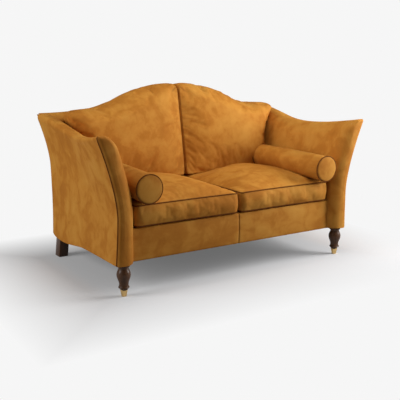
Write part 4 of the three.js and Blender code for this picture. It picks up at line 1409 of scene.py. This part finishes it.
class BolsterForm:
    """The right bolster: a stuffed cylinder lying on the seat along the arm."""

    CLEAR = 0.0008  # kept between the bolster and the cushion that it lies on

    def __init__(self, cushions, arm):
        self.s = cushions
        self.full = cushions.bolster_radius + cushions.bolster_swell
        self.start, self.run = BOLSTER_LOW.y, BOLSTER_HIGH.y - BOLSTER_LOW.y
        low = cushions.upper_seam + cushions.bolster_rise + self.full
        aside = cushions.bolster_gap + self.full
        self.front = Vector((arm.inner_x(0, low) - aside, self.start, low))
        inward = arm.inner_x(arm.length, low) - arm.inner_x(0, low)
        self.along = Vector((inward, self.run, cushions.bolster_lift)) / self.run

    def centre(self, y):
        """The bolster's middle line."""
        return self.front + self.along * (y - self.start)

    def radius(self, y):
        """The bolster's radius, a little fuller in its middle."""
        return self.full - self.s.bolster_swell * (2 * (y - self.start) / self.run - 1) ** 2

    def keep_out(self, co):
        """Moves a point of a neighbour out of the bolster."""
        if not -0.001 < co.y - self.start < self.run + 0.001:
            return co
        centre = self.centre(co.y)
        away = co - centre
        near = self.full + self.CLEAR
        if away.length >= near:
            return co
        away.z = min(away.z, -0.02)
        return centre + away * (near / away.length)


class SeatCushionForm:
    """The right seat cushion, boxed and pressed flat below the back cushion and the bolster."""

    DRAWN_IN = 0.004
    PRESS_RUN = 0.112
    FRONT_SWELL = 3.8  # how much fuller the front's boxing is than the others
    FRONT_SPACE = 0.017

    def __init__(self, context):
        self.s = context.scene.sofa_cushions
        self.arm, self.back = forms(context)
        bulge = self.s.bulge
        self.low, self.high = SEAT_LOW, SEAT_HIGH
        self.middle = (self.low + self.high) / 2
        self.half = ((self.high.x - self.low.x) / 2 - bulge, (self.high.y - self.low.y) / 2 - bulge)
        self.rest = self.s.upper_seam + self.s.rest_rise
        self.foot_y = self.back.inside_y(self.rest) - self.s.back_thickness
        self.bolster = BolsterForm(self.s, self.arm)

    def plan(self, u, v):
        """Where a point of the plan lies, with the corners rounded."""
        half_x, half_y = self.half
        reach = max(abs(u), abs(v), 1e-9)
        edge = Vector((abs(u) / reach * half_x, abs(v) / reach * half_y))
        r = self.s.corner
        centre = Vector((half_x - r, half_y - r))
        scale = 1.0
        if edge.x > centre.x and edge.y > centre.y:
            a, b, c = edge.dot(edge), edge.dot(centre), centre.dot(centre) - r * r
            scale = (b + math.sqrt(max(0.0, b * b - a * c))) / a
        scale = lerp(1.0, scale, reach**6)
        drawn_x = 1 - self.DRAWN_IN / half_x * (1 - v * v) * abs(u) ** 6
        drawn_y = 1 - self.DRAWN_IN / half_y * (1 - u * u) * abs(v) ** 6
        x = self.middle.x + half_x * u * scale * drawn_x
        y = self.middle.y + half_y * v * scale * drawn_y
        return x, y

    def place(self, u, v, w, fill):
        """A point of the cushion from the unit cube's point."""
        x, y = self.plan(u, v)
        s = self.s
        if abs(w) < 0.999:
            swell = s.bulge * (1 - w * w) * fill
            x += swell * u if abs(u) > 0.999 else 0
            y += swell * v if v > 0.999 else 0
            y -= self.FRONT_SWELL * swell * (1 - u**8) if v < -0.999 else 0
            return Vector((x, y, lerp(s.lower_seam, s.upper_seam, (w + 1) / 2)))
        if w < 0:
            from_edge = min((1 - abs(u)) * self.half[0], (1 - abs(v)) * self.half[1])
            rise = round_cut(0.06, from_edge, s.lower_seam - self.low.z)
            return Vector((x, y, self.low.z + rise))
        pressed = smooth((y - self.foot_y + self.PRESS_RUN) / self.PRESS_RUN)
        crown = s.seat_crown * dome(u) * dome(v) * (1 - pressed) * fill
        flat = (s.rest_rise - TOUCH) * pressed * (1 - u**12) * (1 - v**12)
        return Vector((x, y, s.upper_seam + crown + flat))

    def seam(self, upper):
        """The line of the upper or lower seam."""
        level = self.s.upper_seam if upper else self.s.lower_seam
        corners = [(-1, -1), (1, -1), (1, 1), (-1, 1)]
        line = []
        for (a, b), (c, d) in zip(corners, corners[1:] + corners[:1]):
            for t in divide(0, 1, SEAM_PARTS)[:-1]:
                line.append(Vector((*self.plan(lerp(a, c, t), lerp(b, d, t)), level)))
        return spaced(line, SEAM_SPACING)

    def fence(self, co):
        """Keeps a point off the cushion's neighbours."""
        co = co.copy()
        co.z = max(co.z, self.low.z)
        co.x = clamp(co.x, self.low.x - 0.0012, self.high.x + 0.001)
        co.y = clamp(co.y, self.low.y - self.FRONT_SPACE, self.back.inside_y(co.z) - 0.0012)
        if co.y > self.foot_y - 0.02:
            press = smooth((co.y - self.foot_y + 0.02) / 0.02)
            co.z = min(co.z, lerp(self.rest + 0.03, self.rest - TOUCH, press))
        return self.bolster.keep_out(co)


class SOFA_OT_seat_cushions(bpy.types.Operator):
    """Adds the two boxed seat cushions with piped seams"""

    bl_idname = "sofa.seat_cushions"
    bl_label = "Seat cushions"

    FOLD_DEPTH = 0.0075
    FOLD_SCALE = 15.0
    GIVE = 0.0022

    def execute(self, context):
        form = SeatCushionForm(context)
        seam_lines = {"upper": form.seam(True), "lower": form.seam(False)}
        seams = seam_lines["upper"] + seam_lines["lower"]
        radius = form.s.piping
        for name, side in SIDES.items():
            piece = stuffed(
                f"seat_cushion_dressed_{name}", form, seams, slack=0.86, growth=0.012, cap=0.022
            )
            self.wrinkle(piece, form, side)
            settle(piece, passes=2, fence=form.fence)
            # Darker near the seams: partly seam dirt, partly painted shade.
            mark_seam_dirt_and_shade(piece, seams, reach=0.0045)
            cords = {}
            for label, line in seam_lines.items():
                cords[label] = onto(piece, line, lift=0.25 * radius)
            node, lie, seed = f"seat_cushion_{name}", f"seat_{name}", 21.0 + 2 * side
            finish_cushion(context, piece, side, node, fill=0.75, lie=lie, seed=seed, streaks=0.2)
            for label, line in cords.items():
                cord_name = f"seat_piping_{label}_{name}"
                add_piping(context, cord_name, line, radius, side, f"{node}_body", closed=True)
        return {"FINISHED"}

    def wrinkle(self, piece, form, side):
        """Soft upright wrinkles in the boxing and a little give in the top."""
        s = form.s
        normals = [vert.normal.copy() for vert in piece.data.vertices]
        for vert, normal in zip(piece.data.vertices, normals):
            co = vert.co
            level = clamp((co.z - s.lower_seam) / (s.upper_seam - s.lower_seam))
            if co.y < form.low.y + 0.02 and 0 < level < 1:
                ends = 0.6 + 0.4 * clamp(abs(co.x - form.middle.x) / form.half[0]) ** 2
                fold = ripple((co.x, 0, co.z * 0.25), self.FOLD_SCALE, 40.0 + side)
                vert.co = co + normal * self.FOLD_DEPTH * ends * fold * dome(2 * level - 1)
            elif co.z > s.upper_seam:
                give = self.GIVE * ripple(co, 9.0, 43.0 + side)
                give *= clamp((co.z - s.upper_seam) / 0.03)
                vert.co = co + normal * give


class BackCushionForm:
    """The right back cushion: humped, following the arm's flare, with its ridge near the front."""

    OUTER_CORNER, INNER_CORNER = 0.03, 0.012  # how far the outline's corners are drawn in

    def __init__(self, context):
        self.s = context.scene.sofa_cushions
        self.arm, self.back = forms(context)
        self.rest = self.s.upper_seam + self.s.rest_rise
        self.inner = 0.0005 + self.s.bulge

    def outer(self, height):
        """The outer side beside the arm."""
        capped = min(height, self.back.s.wing_height)
        return self.arm.inner_x(self.arm.length, capped) - self.s.back_gap

    def top(self, x):
        """The highest line."""
        return self.back.hump(x, self.s.back_end_height, self.s.back_height)

    def fall(self, depth):
        """How far the top lies below its ridge, by the share of the thickness from the front."""
        s = self.s
        if depth < s.ridge:
            return s.ridge_front_fall * (1 - depth / s.ridge) ** 2
        return s.ridge_rear_fall * ((depth - s.ridge) / (1 - s.ridge)) ** 2

    def outline(self, u, w, depth):
        """A point of the outline at a depth, seen from the front, with rounded corners."""
        reach = max(abs(u), abs(w), 1e-9)
        near = min(abs(u), abs(w)) / reach
        drawn = self.OUTER_CORNER if u > 0 else self.INNER_CORNER
        corner = 1 - drawn * smooth((near - 0.86) / 0.14) * reach**6
        across, level = (u * corner + 1) / 2, (w * corner + 1) / 2
        guess = lerp(self.rest, self.back.s.wing_height, level)
        rough = lerp(self.inner, self.outer(guess), across)
        fall = self.fall(depth)
        z = lerp(self.rest, self.top(rough), level) - fall * level**6
        return lerp(self.inner, self.outer(z), across) - self.s.side_fall * fall * across**6, z

    def place(self, u, v, w, fill):
        """A point of the cushion from the unit cube's point."""
        s = self.s
        depth = (v + 1) / 2
        x, z = self.outline(u, w, depth)
        if u < -0.999:
            x -= s.bulge * (1 - v * v) * fill
        crown = s.back_crown * dome(u) * dome(w) * fill if v < -0.999 else 0.0
        y = self.back.inside_y(z) - TOUCH - s.back_thickness * (1 - depth) - crown
        return Vector((x, y, z))

    def seam(self, depth, corners):
        """A seam at a depth, through corners of the outline."""
        line = []
        for (a, b), (c, d) in zip(corners, corners[1:]):
            for t in divide(0, 1, SEAM_PARTS)[:-1]:
                x, z = self.outline(lerp(a, c, t), lerp(b, d, t), depth)
                forward = TOUCH + self.s.back_thickness * (1 - depth)
                line.append(Vector((x, self.back.inside_y(z) - forward, z)))
        return spaced(line, SEAM_SPACING)

    def fence(self, co):
        """Keeps a point off the cushion's neighbours."""
        co = co.copy()
        depth = clamp(1 - (self.back.inside_y(co.z) - TOUCH - co.y) / self.s.back_thickness)
        fall = self.fall(depth)
        co.z = clamp(co.z, self.rest, self.top(co.x) - fall + 0.004)
        co.x = clamp(co.x, 0.0012, self.outer(co.z) - self.s.side_fall * fall + 0.004)
        co.y = min(co.y, self.back.inside_y(co.z) - 0.0008)
        return co


class SOFA_OT_back_cushions(bpy.types.Operator):
    """Adds the two humped back cushions with their gathers"""

    bl_idname = "sofa.back_cushions"
    bl_label = "Back cushions"

    FRONT_SEAM = ((-1, 1), (-1, -1), (1, -1))
    REAR_SEAM = ((-1, -1), (1, -1), (1, 1), (-1, 1), (-1, -1))
    PLEAT_DEPTH = 0.008
    PLEAT_REACH = 0.06
    FOOT_DEPTH = 0.004
    GIVE = 0.002

    def execute(self, context):
        form = BackCushionForm(context)
        front, rear = form.seam(0.0, self.FRONT_SEAM), form.seam(1.0, self.REAR_SEAM)
        seams = front + rear
        for name, side in SIDES.items():
            piece = stuffed(
                f"back_cushion_dressed_{name}", form, seams, slack=0.8, growth=0.02, cap=0.026
            )
            self.gather(piece, form, side)
            settle(piece, passes=1, fence=form.fence)
            # Darker near the front seam: partly seam dirt, partly painted shade.
            mark_seam_dirt_and_shade(piece, front, reach=0.004)
            node, lie, seed = f"back_cushion_{name}", f"back_{name}", 31.0 + 2 * side
            finish_cushion(context, piece, side, node, fill=0.7, lie=lie, seed=seed, streaks=0.2)
        return {"FINISHED"}

    def gather(self, piece, form, side):
        """Puckers that run down from the top seam and up from the foot."""
        normals = [vert.normal.copy() for vert in piece.data.vertices]
        for vert, normal in zip(piece.data.vertices, normals):
            co = vert.co
            if co.y > form.back.inside_y(co.z) - form.s.back_thickness * (1 - form.s.ridge):
                continue
            below, above = form.top(co.x) - co.z, co.z - form.rest
            slant = co.x + 0.35 * below * (1 if co.x > 0.25 else -0.3)
            pleat = ripple((slant, 0, 0), 30.0, 50.0 + side)
            pleat += 0.5 * ripple((slant, 0, 0), 62.0, 52.0 + side)
            reach = self.PLEAT_REACH * (1 + 0.5 * ripple((co.x, 0, 0), 9.0, 54.0 + side))
            depth = self.PLEAT_DEPTH * pleat * math.exp(-below / max(0.02, reach))
            depth *= smooth(below / 0.012)
            foot = ripple((co.x + 0.25 * above, 0, 0), 24.0, 56.0 + side)
            foot *= math.exp(-above / 0.06) * smooth(above / 0.012) * (1 - co.x / 0.8)
            depth += self.FOOT_DEPTH * foot
            vert.co = co + normal * (depth + self.GIVE * ripple(co, 8.0, 58.0 + side))


class SOFA_OT_bolsters(bpy.types.Operator):
    """Adds the bolsters with their piped ends"""

    bl_idname = "sofa.bolsters"
    bl_label = "Bolsters"

    END_RING = 0.0075
    END_SPACE = 0.0015
    RING_PIPING = 0.0026
    RING_POINTS = 96
    STEPS = 120
    GATHER_DEPTH = 0.0022

    def execute(self, context):
        arm, _ = forms(context)
        form = BolsterForm(context.scene.sofa_cushions, arm)
        rim = form.s.bolster_radius
        start, run = self.END_SPACE, form.run - 2 * self.END_SPACE
        disc = [(r, 0.0045 * (r / rim) ** 2) for r in divide(0, rim - 0.006, 10)]
        disc += [(rim - 0.003, self.END_RING - 0.0015), (rim - 0.001, self.END_RING)]
        body = []
        for at in divide(self.END_RING + 0.002, run - self.END_RING - 0.002, 60):
            body.append((form.radius(form.start + start + at) - 0.0012, at))
        profile = disc + body + [(r, run - at) for r, at in reversed(disc)]
        turned = Matrix.Rotation(-math.pi / 2, 4, "X")
        lay = Matrix.Identity(4)
        lay.col[1].xyz = form.along
        lay.translation = form.front + form.along * start
        rings = {}
        for label, at in (("front", self.END_RING), ("rear", run - self.END_RING)):
            rings[label] = [
                lay @ Vector((rim * math.cos(a), at, rim * math.sin(a)))
                for a in divide(0, math.tau, self.RING_POINTS)[:-1]
            ]
        for name, side in SIDES.items():
            bm = spun(profile, self.STEPS)
            bmesh.ops.transform(bm, matrix=turned, verts=bm.verts[:])
            for vert in bm.verts:
                self.gather(vert, run, side)
            bmesh.ops.transform(bm, matrix=lay, verts=bm.verts[:])
            bmesh.ops.recalc_face_normals(bm, faces=bm.faces[:])
            piece = new_piece(f"bolster_dressed_{name}", bm)
            # Darker near the end seams: partly seam dirt, partly painted shade.
            mark_seam_dirt_and_shade(piece, rings["front"] + rings["rear"], reach=0.005)
            node, seed = f"bolster_{name}", 41.0 + side
            finish_cushion(
                context, piece, side, node, fill=0.9, lie=node, stretch=(1, 0.4, 1), seed=seed
            )
            for label, ring in rings.items():
                cord_name, on_body = f"bolster_piping_{label}_{name}", f"{node}_body"
                add_piping(context, cord_name, ring, self.RING_PIPING, side, on_body, closed=True)
        return {"FINISHED"}

    def gather(self, vert, run, side):
        """Fine gathers behind the end seams and a slight unevenness."""
        inward = min(vert.co.y, run - vert.co.y) - self.END_RING
        if inward <= 0:
            return
        radial = Vector((vert.co.x, 0, vert.co.z)).normalized()
        pleat = ripple(radial, 9.0, 61.0 + side) + 0.5 * ripple(radial, 19.0, 63.0 + side)
        depth = self.GATHER_DEPTH * pleat * math.exp(-inward / 0.03) * smooth(inward / 0.008)
        depth += 0.0014 * ripple((radial.x * 0.1, vert.co.y, radial.z * 0.1), 11.0, 65.0 + side)
        vert.co += radial * min(0.0, depth - 0.0008)


def rounded_profile(points, steps):
    """A smooth line through points of a profile, by Catmull-Rom splines."""
    line = []
    last = len(points) - 1
    for k in range(last):
        p0, p1, p2, p3 = (Vector(points[int(clamp(k + d, 0, last))]) for d in (-1, 0, 1, 2))
        for t in divide(0, 1, steps)[:-1]:
            curve = (2 * p1) + (p2 - p0) * t + (2 * p0 - 5 * p1 + 4 * p2 - p3) * t * t
            line.append((curve + (3 * p1 - p0 - 3 * p2 + p3) * t**3) / 2)
    return [tuple(point) for point in line] + [points[-1]]


class SOFA_OT_front_legs(bpy.types.Operator):
    """Adds the turned front legs and their brass cups"""

    bl_idname = "sofa.front_legs"
    bl_label = "Front legs"

    CUP_HEIGHT = 0.033
    CUP_TOP = 0.018
    CUP_FOOT = 0.0125
    CUP_WALL = 0.0016
    # Radius and height of points of the leg's swelling middle
    VASE = (
        (0.0242, 0.0512),
        (0.0226, 0.062),
        (0.0262, 0.078),
        (0.0322, 0.094),
        (0.0344, 0.1075),
        (0.0322, 0.1215),
        (0.0272, 0.1335),
        (0.0248, 0.1405),
    )
    RING_RADIUS, RING_HEIGHT = 0.0238, 0.046
    SPIN_STEPS = 64

    def leg_profile(self):
        """Radius and height of the leg from its toe to its collar."""
        foot, cup, tall = LEG_LOW.z, self.CUP_TOP, self.CUP_HEIGHT
        top = LEG_HIGH.z
        line = [(0, foot), (self.CUP_FOOT - 0.002, foot), (cup - 0.002, tall)]
        line += [(cup + 0.0002, tall + 0.0004), (0.0192, 0.0375), (0.0205, 0.0405)]
        for a in divide(-1.2, 1.2, 8):
            radius = self.RING_RADIUS + 0.0032 * math.cos(a)
            line.append((radius, self.RING_HEIGHT + 0.0042 * math.sin(a)))
        line += rounded_profile(self.VASE, 6)
        line += [(0.0248, 0.1425), (0.0262, 0.1462), (0.0272, 0.1472)]
        for a in divide(0, math.pi / 2, 4):
            line.append((0.029 + 0.002 * math.sin(a), 0.1482 + 0.0016 * (1 - math.cos(a))))
        return line + [(0.031, top - 0.004), (0.0306, top - 0.0015), (0.029, top), (0, top)]

    def cup_profile(self):
        """Radius and height of the cup from the middle of its foot round its rim."""
        foot, top, tall = self.CUP_FOOT, self.CUP_TOP, self.CUP_HEIGHT
        line = [(0, 0), (foot - 0.0012, 0), (foot - 0.0003, 0.0004)]
        line += [(lerp(foot, top - 0.0006, t), lerp(0.0014, 0.0275, t)) for t in divide(0, 1, 8)]
        line += [(top - 0.0008, 0.0282), (top, 0.0292), (top, 0.0322), (top - 0.0005, tall)]
        return line + [(top - self.CUP_WALL, tall), (foot - self.CUP_WALL, 0.003), (0, 0.003)]

    def execute(self, context):
        middle = (LEG_LOW + LEG_HIGH) / 2
        metal = shared_material("brass_cups", brass, context.scene.sofa_colours.brass)
        parts = (
            ("front_leg", self.leg_profile(), "walnut", leg_wood(context)),
            ("leg_cup", self.cup_profile(), "brass", metal),
        )
        for name, side in SIDES.items():
            for label, profile, slot, material in parts:
                bm = spun(profile, self.SPIN_STEPS)
                bmesh.ops.translate(bm, vec=(side * middle.x, middle.y, 0), verts=bm.verts[:])
                piece = new_piece(f"{label}_turned_{name}", bm)
                finish_piece(piece, FRAME_BODY, [f"{label}_{name}"], slot, material)
        return {"FINISHED"}


class SOFA_OT_rear_legs(bpy.types.Operator):
    """Adds the square raked rear legs"""

    bl_idname = "sofa.rear_legs"
    bl_label = "Rear legs"

    RAKE = 0.04
    EDGE = 0.0035

    def execute(self, context):
        low, high = REAR_LEG_LOW, REAR_LEG_HIGH
        wide, deep, tall = high.x - low.x, high.y - low.y - self.RAKE, high.z - low.z
        for name, side in SIDES.items():
            bm = bmesh.new()
            bmesh.ops.create_cube(bm, size=1)
            bmesh.ops.scale(bm, vec=(wide, deep, tall), verts=bm.verts[:])
            bmesh.ops.bevel(
                bm,
                geom=bm.edges[:],
                offset=self.EDGE,
                segments=3,
                affect="EDGES",
                profile=0.5,
                material=-1,
            )
            for vert in bm.verts:
                rise = vert.co.z / tall + 0.5
                vert.co.y += self.RAKE * (1 - rise)
            centre = (side * (low.x + high.x) / 2, low.y + deep / 2, (low.z + high.z) / 2)
            bmesh.ops.translate(bm, vec=centre, verts=bm.verts[:])
            piece = new_piece(f"rear_leg_square_{name}", bm)
            finish_piece(piece, FRAME_BODY, [f"rear_leg_{name}"], "walnut", leg_wood(context))
        return {"FINISHED"}


class SOFA_OT_seat_deck(bpy.types.Operator):
    """Adds the padded deck below the seat cushions and the cloth under the frame"""

    bl_idname = "sofa.seat_deck"
    bl_label = "Seat deck and underside"

    STITCH_WIDE, STITCH_DEEP = 0.155, 0.165
    BLACK = (0.11, 0.11, 0.115)
    SHEET_COLUMNS, SHEET_ROWS = 48, 32

    def execute(self, context):
        colours = context.scene.sofa_colours
        _, back = forms(context)
        low, high = DECK_LOW, DECK_HIGH

        def place(u, v, w):
            z = lerp(low.z, high.z, (w + 1) / 2)
            x = lerp(low.x, high.x, (u + 1) / 2)
            y = lerp(low.y, back.inside_y(z) - TOUCH, (v + 1) / 2)
            if w > 0.999:
                stitched = abs(math.sin(x * math.pi / self.STITCH_WIDE))
                stitched *= abs(math.sin((y - low.y) * math.pi / self.STITCH_DEEP))
                z -= 0.0004 + 0.0022 * (1 - stitched**0.4)
            return Vector((x, y, z))

        piece = new_piece("seat_deck_dressed", block(60, place))
        cloth = shared_material("sewn_deck_cloth", woven, colours.cloth, thread=0.004)
        finish_piece(piece, FRAME_BODY, ["seat_deck"], "deck_cloth", cloth)
        wide, deep = DUST_HIGH.x - DUST_LOW.x, DUST_HIGH.y - DUST_LOW.y

        def sagging(column, row):
            u, v = 2 * column / self.SHEET_COLUMNS - 1, 2 * row / self.SHEET_ROWS - 1
            sag = 0.0002 + 0.0012 * dome(u) * dome(v)
            y = lerp(DUST_LOW.y, DUST_HIGH.y, (v + 1) / 2)
            return Vector((u * wide / 2, y, DUST_HIGH.z - sag))

        bm = grid(self.SHEET_COLUMNS, self.SHEET_ROWS, sagging)
        facing(bm, lambda at: Vector((0, 0, -1)))
        under = new_piece("dust_cover_dressed", bm)
        black = shared_material("black_underside_cloth", woven, self.BLACK, thread=0.0016)
        finish_piece(under, FRAME_BODY, ["dust_cover"], "black_cloth", black)
        return {"FINISHED"}


class SOFA_OT_hidden_frame(bpy.types.Operator):
    """Gives the timber, springs, straps and bolts inside their finishes"""

    bl_idname = "sofa.hidden_frame"
    bl_label = "Frame finishes"

    # How the timber's pattern is stretched along its grain
    GRAINS = {"upright": (1, 1, 0.1), "across": (0.1, 1, 1), "deep": (1, 0.1, 1)}
    # Words of the nodes' names and their finishes; the first word that fits counts
    FINISHES = (
        ("spring", "steel"),
        ("bolt", "steel"),
        ("web", "straps"),
        ("post", "upright"),
        ("upright", "upright"),
        ("side_seat_rail", "deep"),
        ("arm_top_rail", "deep"),
        ("arm_lower_rail", "deep"),
        ("brace", "deep"),
        ("rail", "across"),
        ("block", "across"),
    )

    def execute(self, context):
        colours = context.scene.sofa_colours
        made = {}
        for label, grain in self.GRAINS.items():
            made[label] = shared_material(
                f"beech_{label}", wood, colours.beech, grain=grain, roughness=0.6
            )
        made["steel"] = shared_material("oiled_steel", steel)
        made["straps"] = shared_material("jute_straps", woven, colours.webbing, thread=0.003)
        for name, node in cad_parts.items():
            if node.hide_render:
                continue
            found = [made[label] for word, label in self.FINISHES if word in name]
            if not found:
                raise RuntimeError(f"no finish for {name}")
            node.data.materials.clear()
            node.data.materials.append(found[0])
        return {"FINISHED"}


OPERATORS = (
    SOFA_OT_stage,
    SOFA_OT_arm_covers,
    SOFA_OT_arm_panels,
    SOFA_OT_arm_piping,
    SOFA_OT_front_border,
    SOFA_OT_inside_back,
    SOFA_OT_outside_back,
    SOFA_OT_seat_cushions,
    SOFA_OT_back_cushions,
    SOFA_OT_bolsters,
    SOFA_OT_front_legs,
    SOFA_OT_rear_legs,
    SOFA_OT_seat_deck,
    SOFA_OT_hidden_frame,
)


class SOFA_PT_pieces(bpy.types.Panel):
    """Lists the sofa's sizes, colours and pieces"""

    bl_idname = "SOFA_PT_pieces"
    bl_label = "Camelback Sofa"
    bl_space_type = "VIEW_3D"
    bl_region_type = "UI"
    bl_category = "Sofa"

    def draw(self, context):
        for group in GROUPS:
            box = self.layout.box()
            settings = getattr(context.scene, group)
            for key in settings.__annotations__:
                box.prop(settings, key)
        for operator in OPERATORS:
            self.layout.operator(operator.bl_idname)


def register():
    """Registers the classes and puts the sizes and colours on the scene."""
    for cls in (*GROUPS.values(), *OPERATORS, SOFA_PT_pieces):
        bpy.utils.register_class(cls)
    for key, group in GROUPS.items():
        setattr(bpy.types.Scene, key, bpy.props.PointerProperty(type=group))


def unregister():
    """Takes the classes and the scene's settings away again."""
    for key in GROUPS:
        delattr(bpy.types.Scene, key)
    for cls in reversed((*GROUPS.values(), *OPERATORS, SOFA_PT_pieces)):
        bpy.utils.unregister_class(cls)


def main():
    """Builds every piece in order."""
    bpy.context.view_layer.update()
    register()
    for operator in OPERATORS:
        group, name = operator.bl_idname.split(".")
        getattr(getattr(bpy.ops, group), name)()


if __name__ == "__main__":
    main()
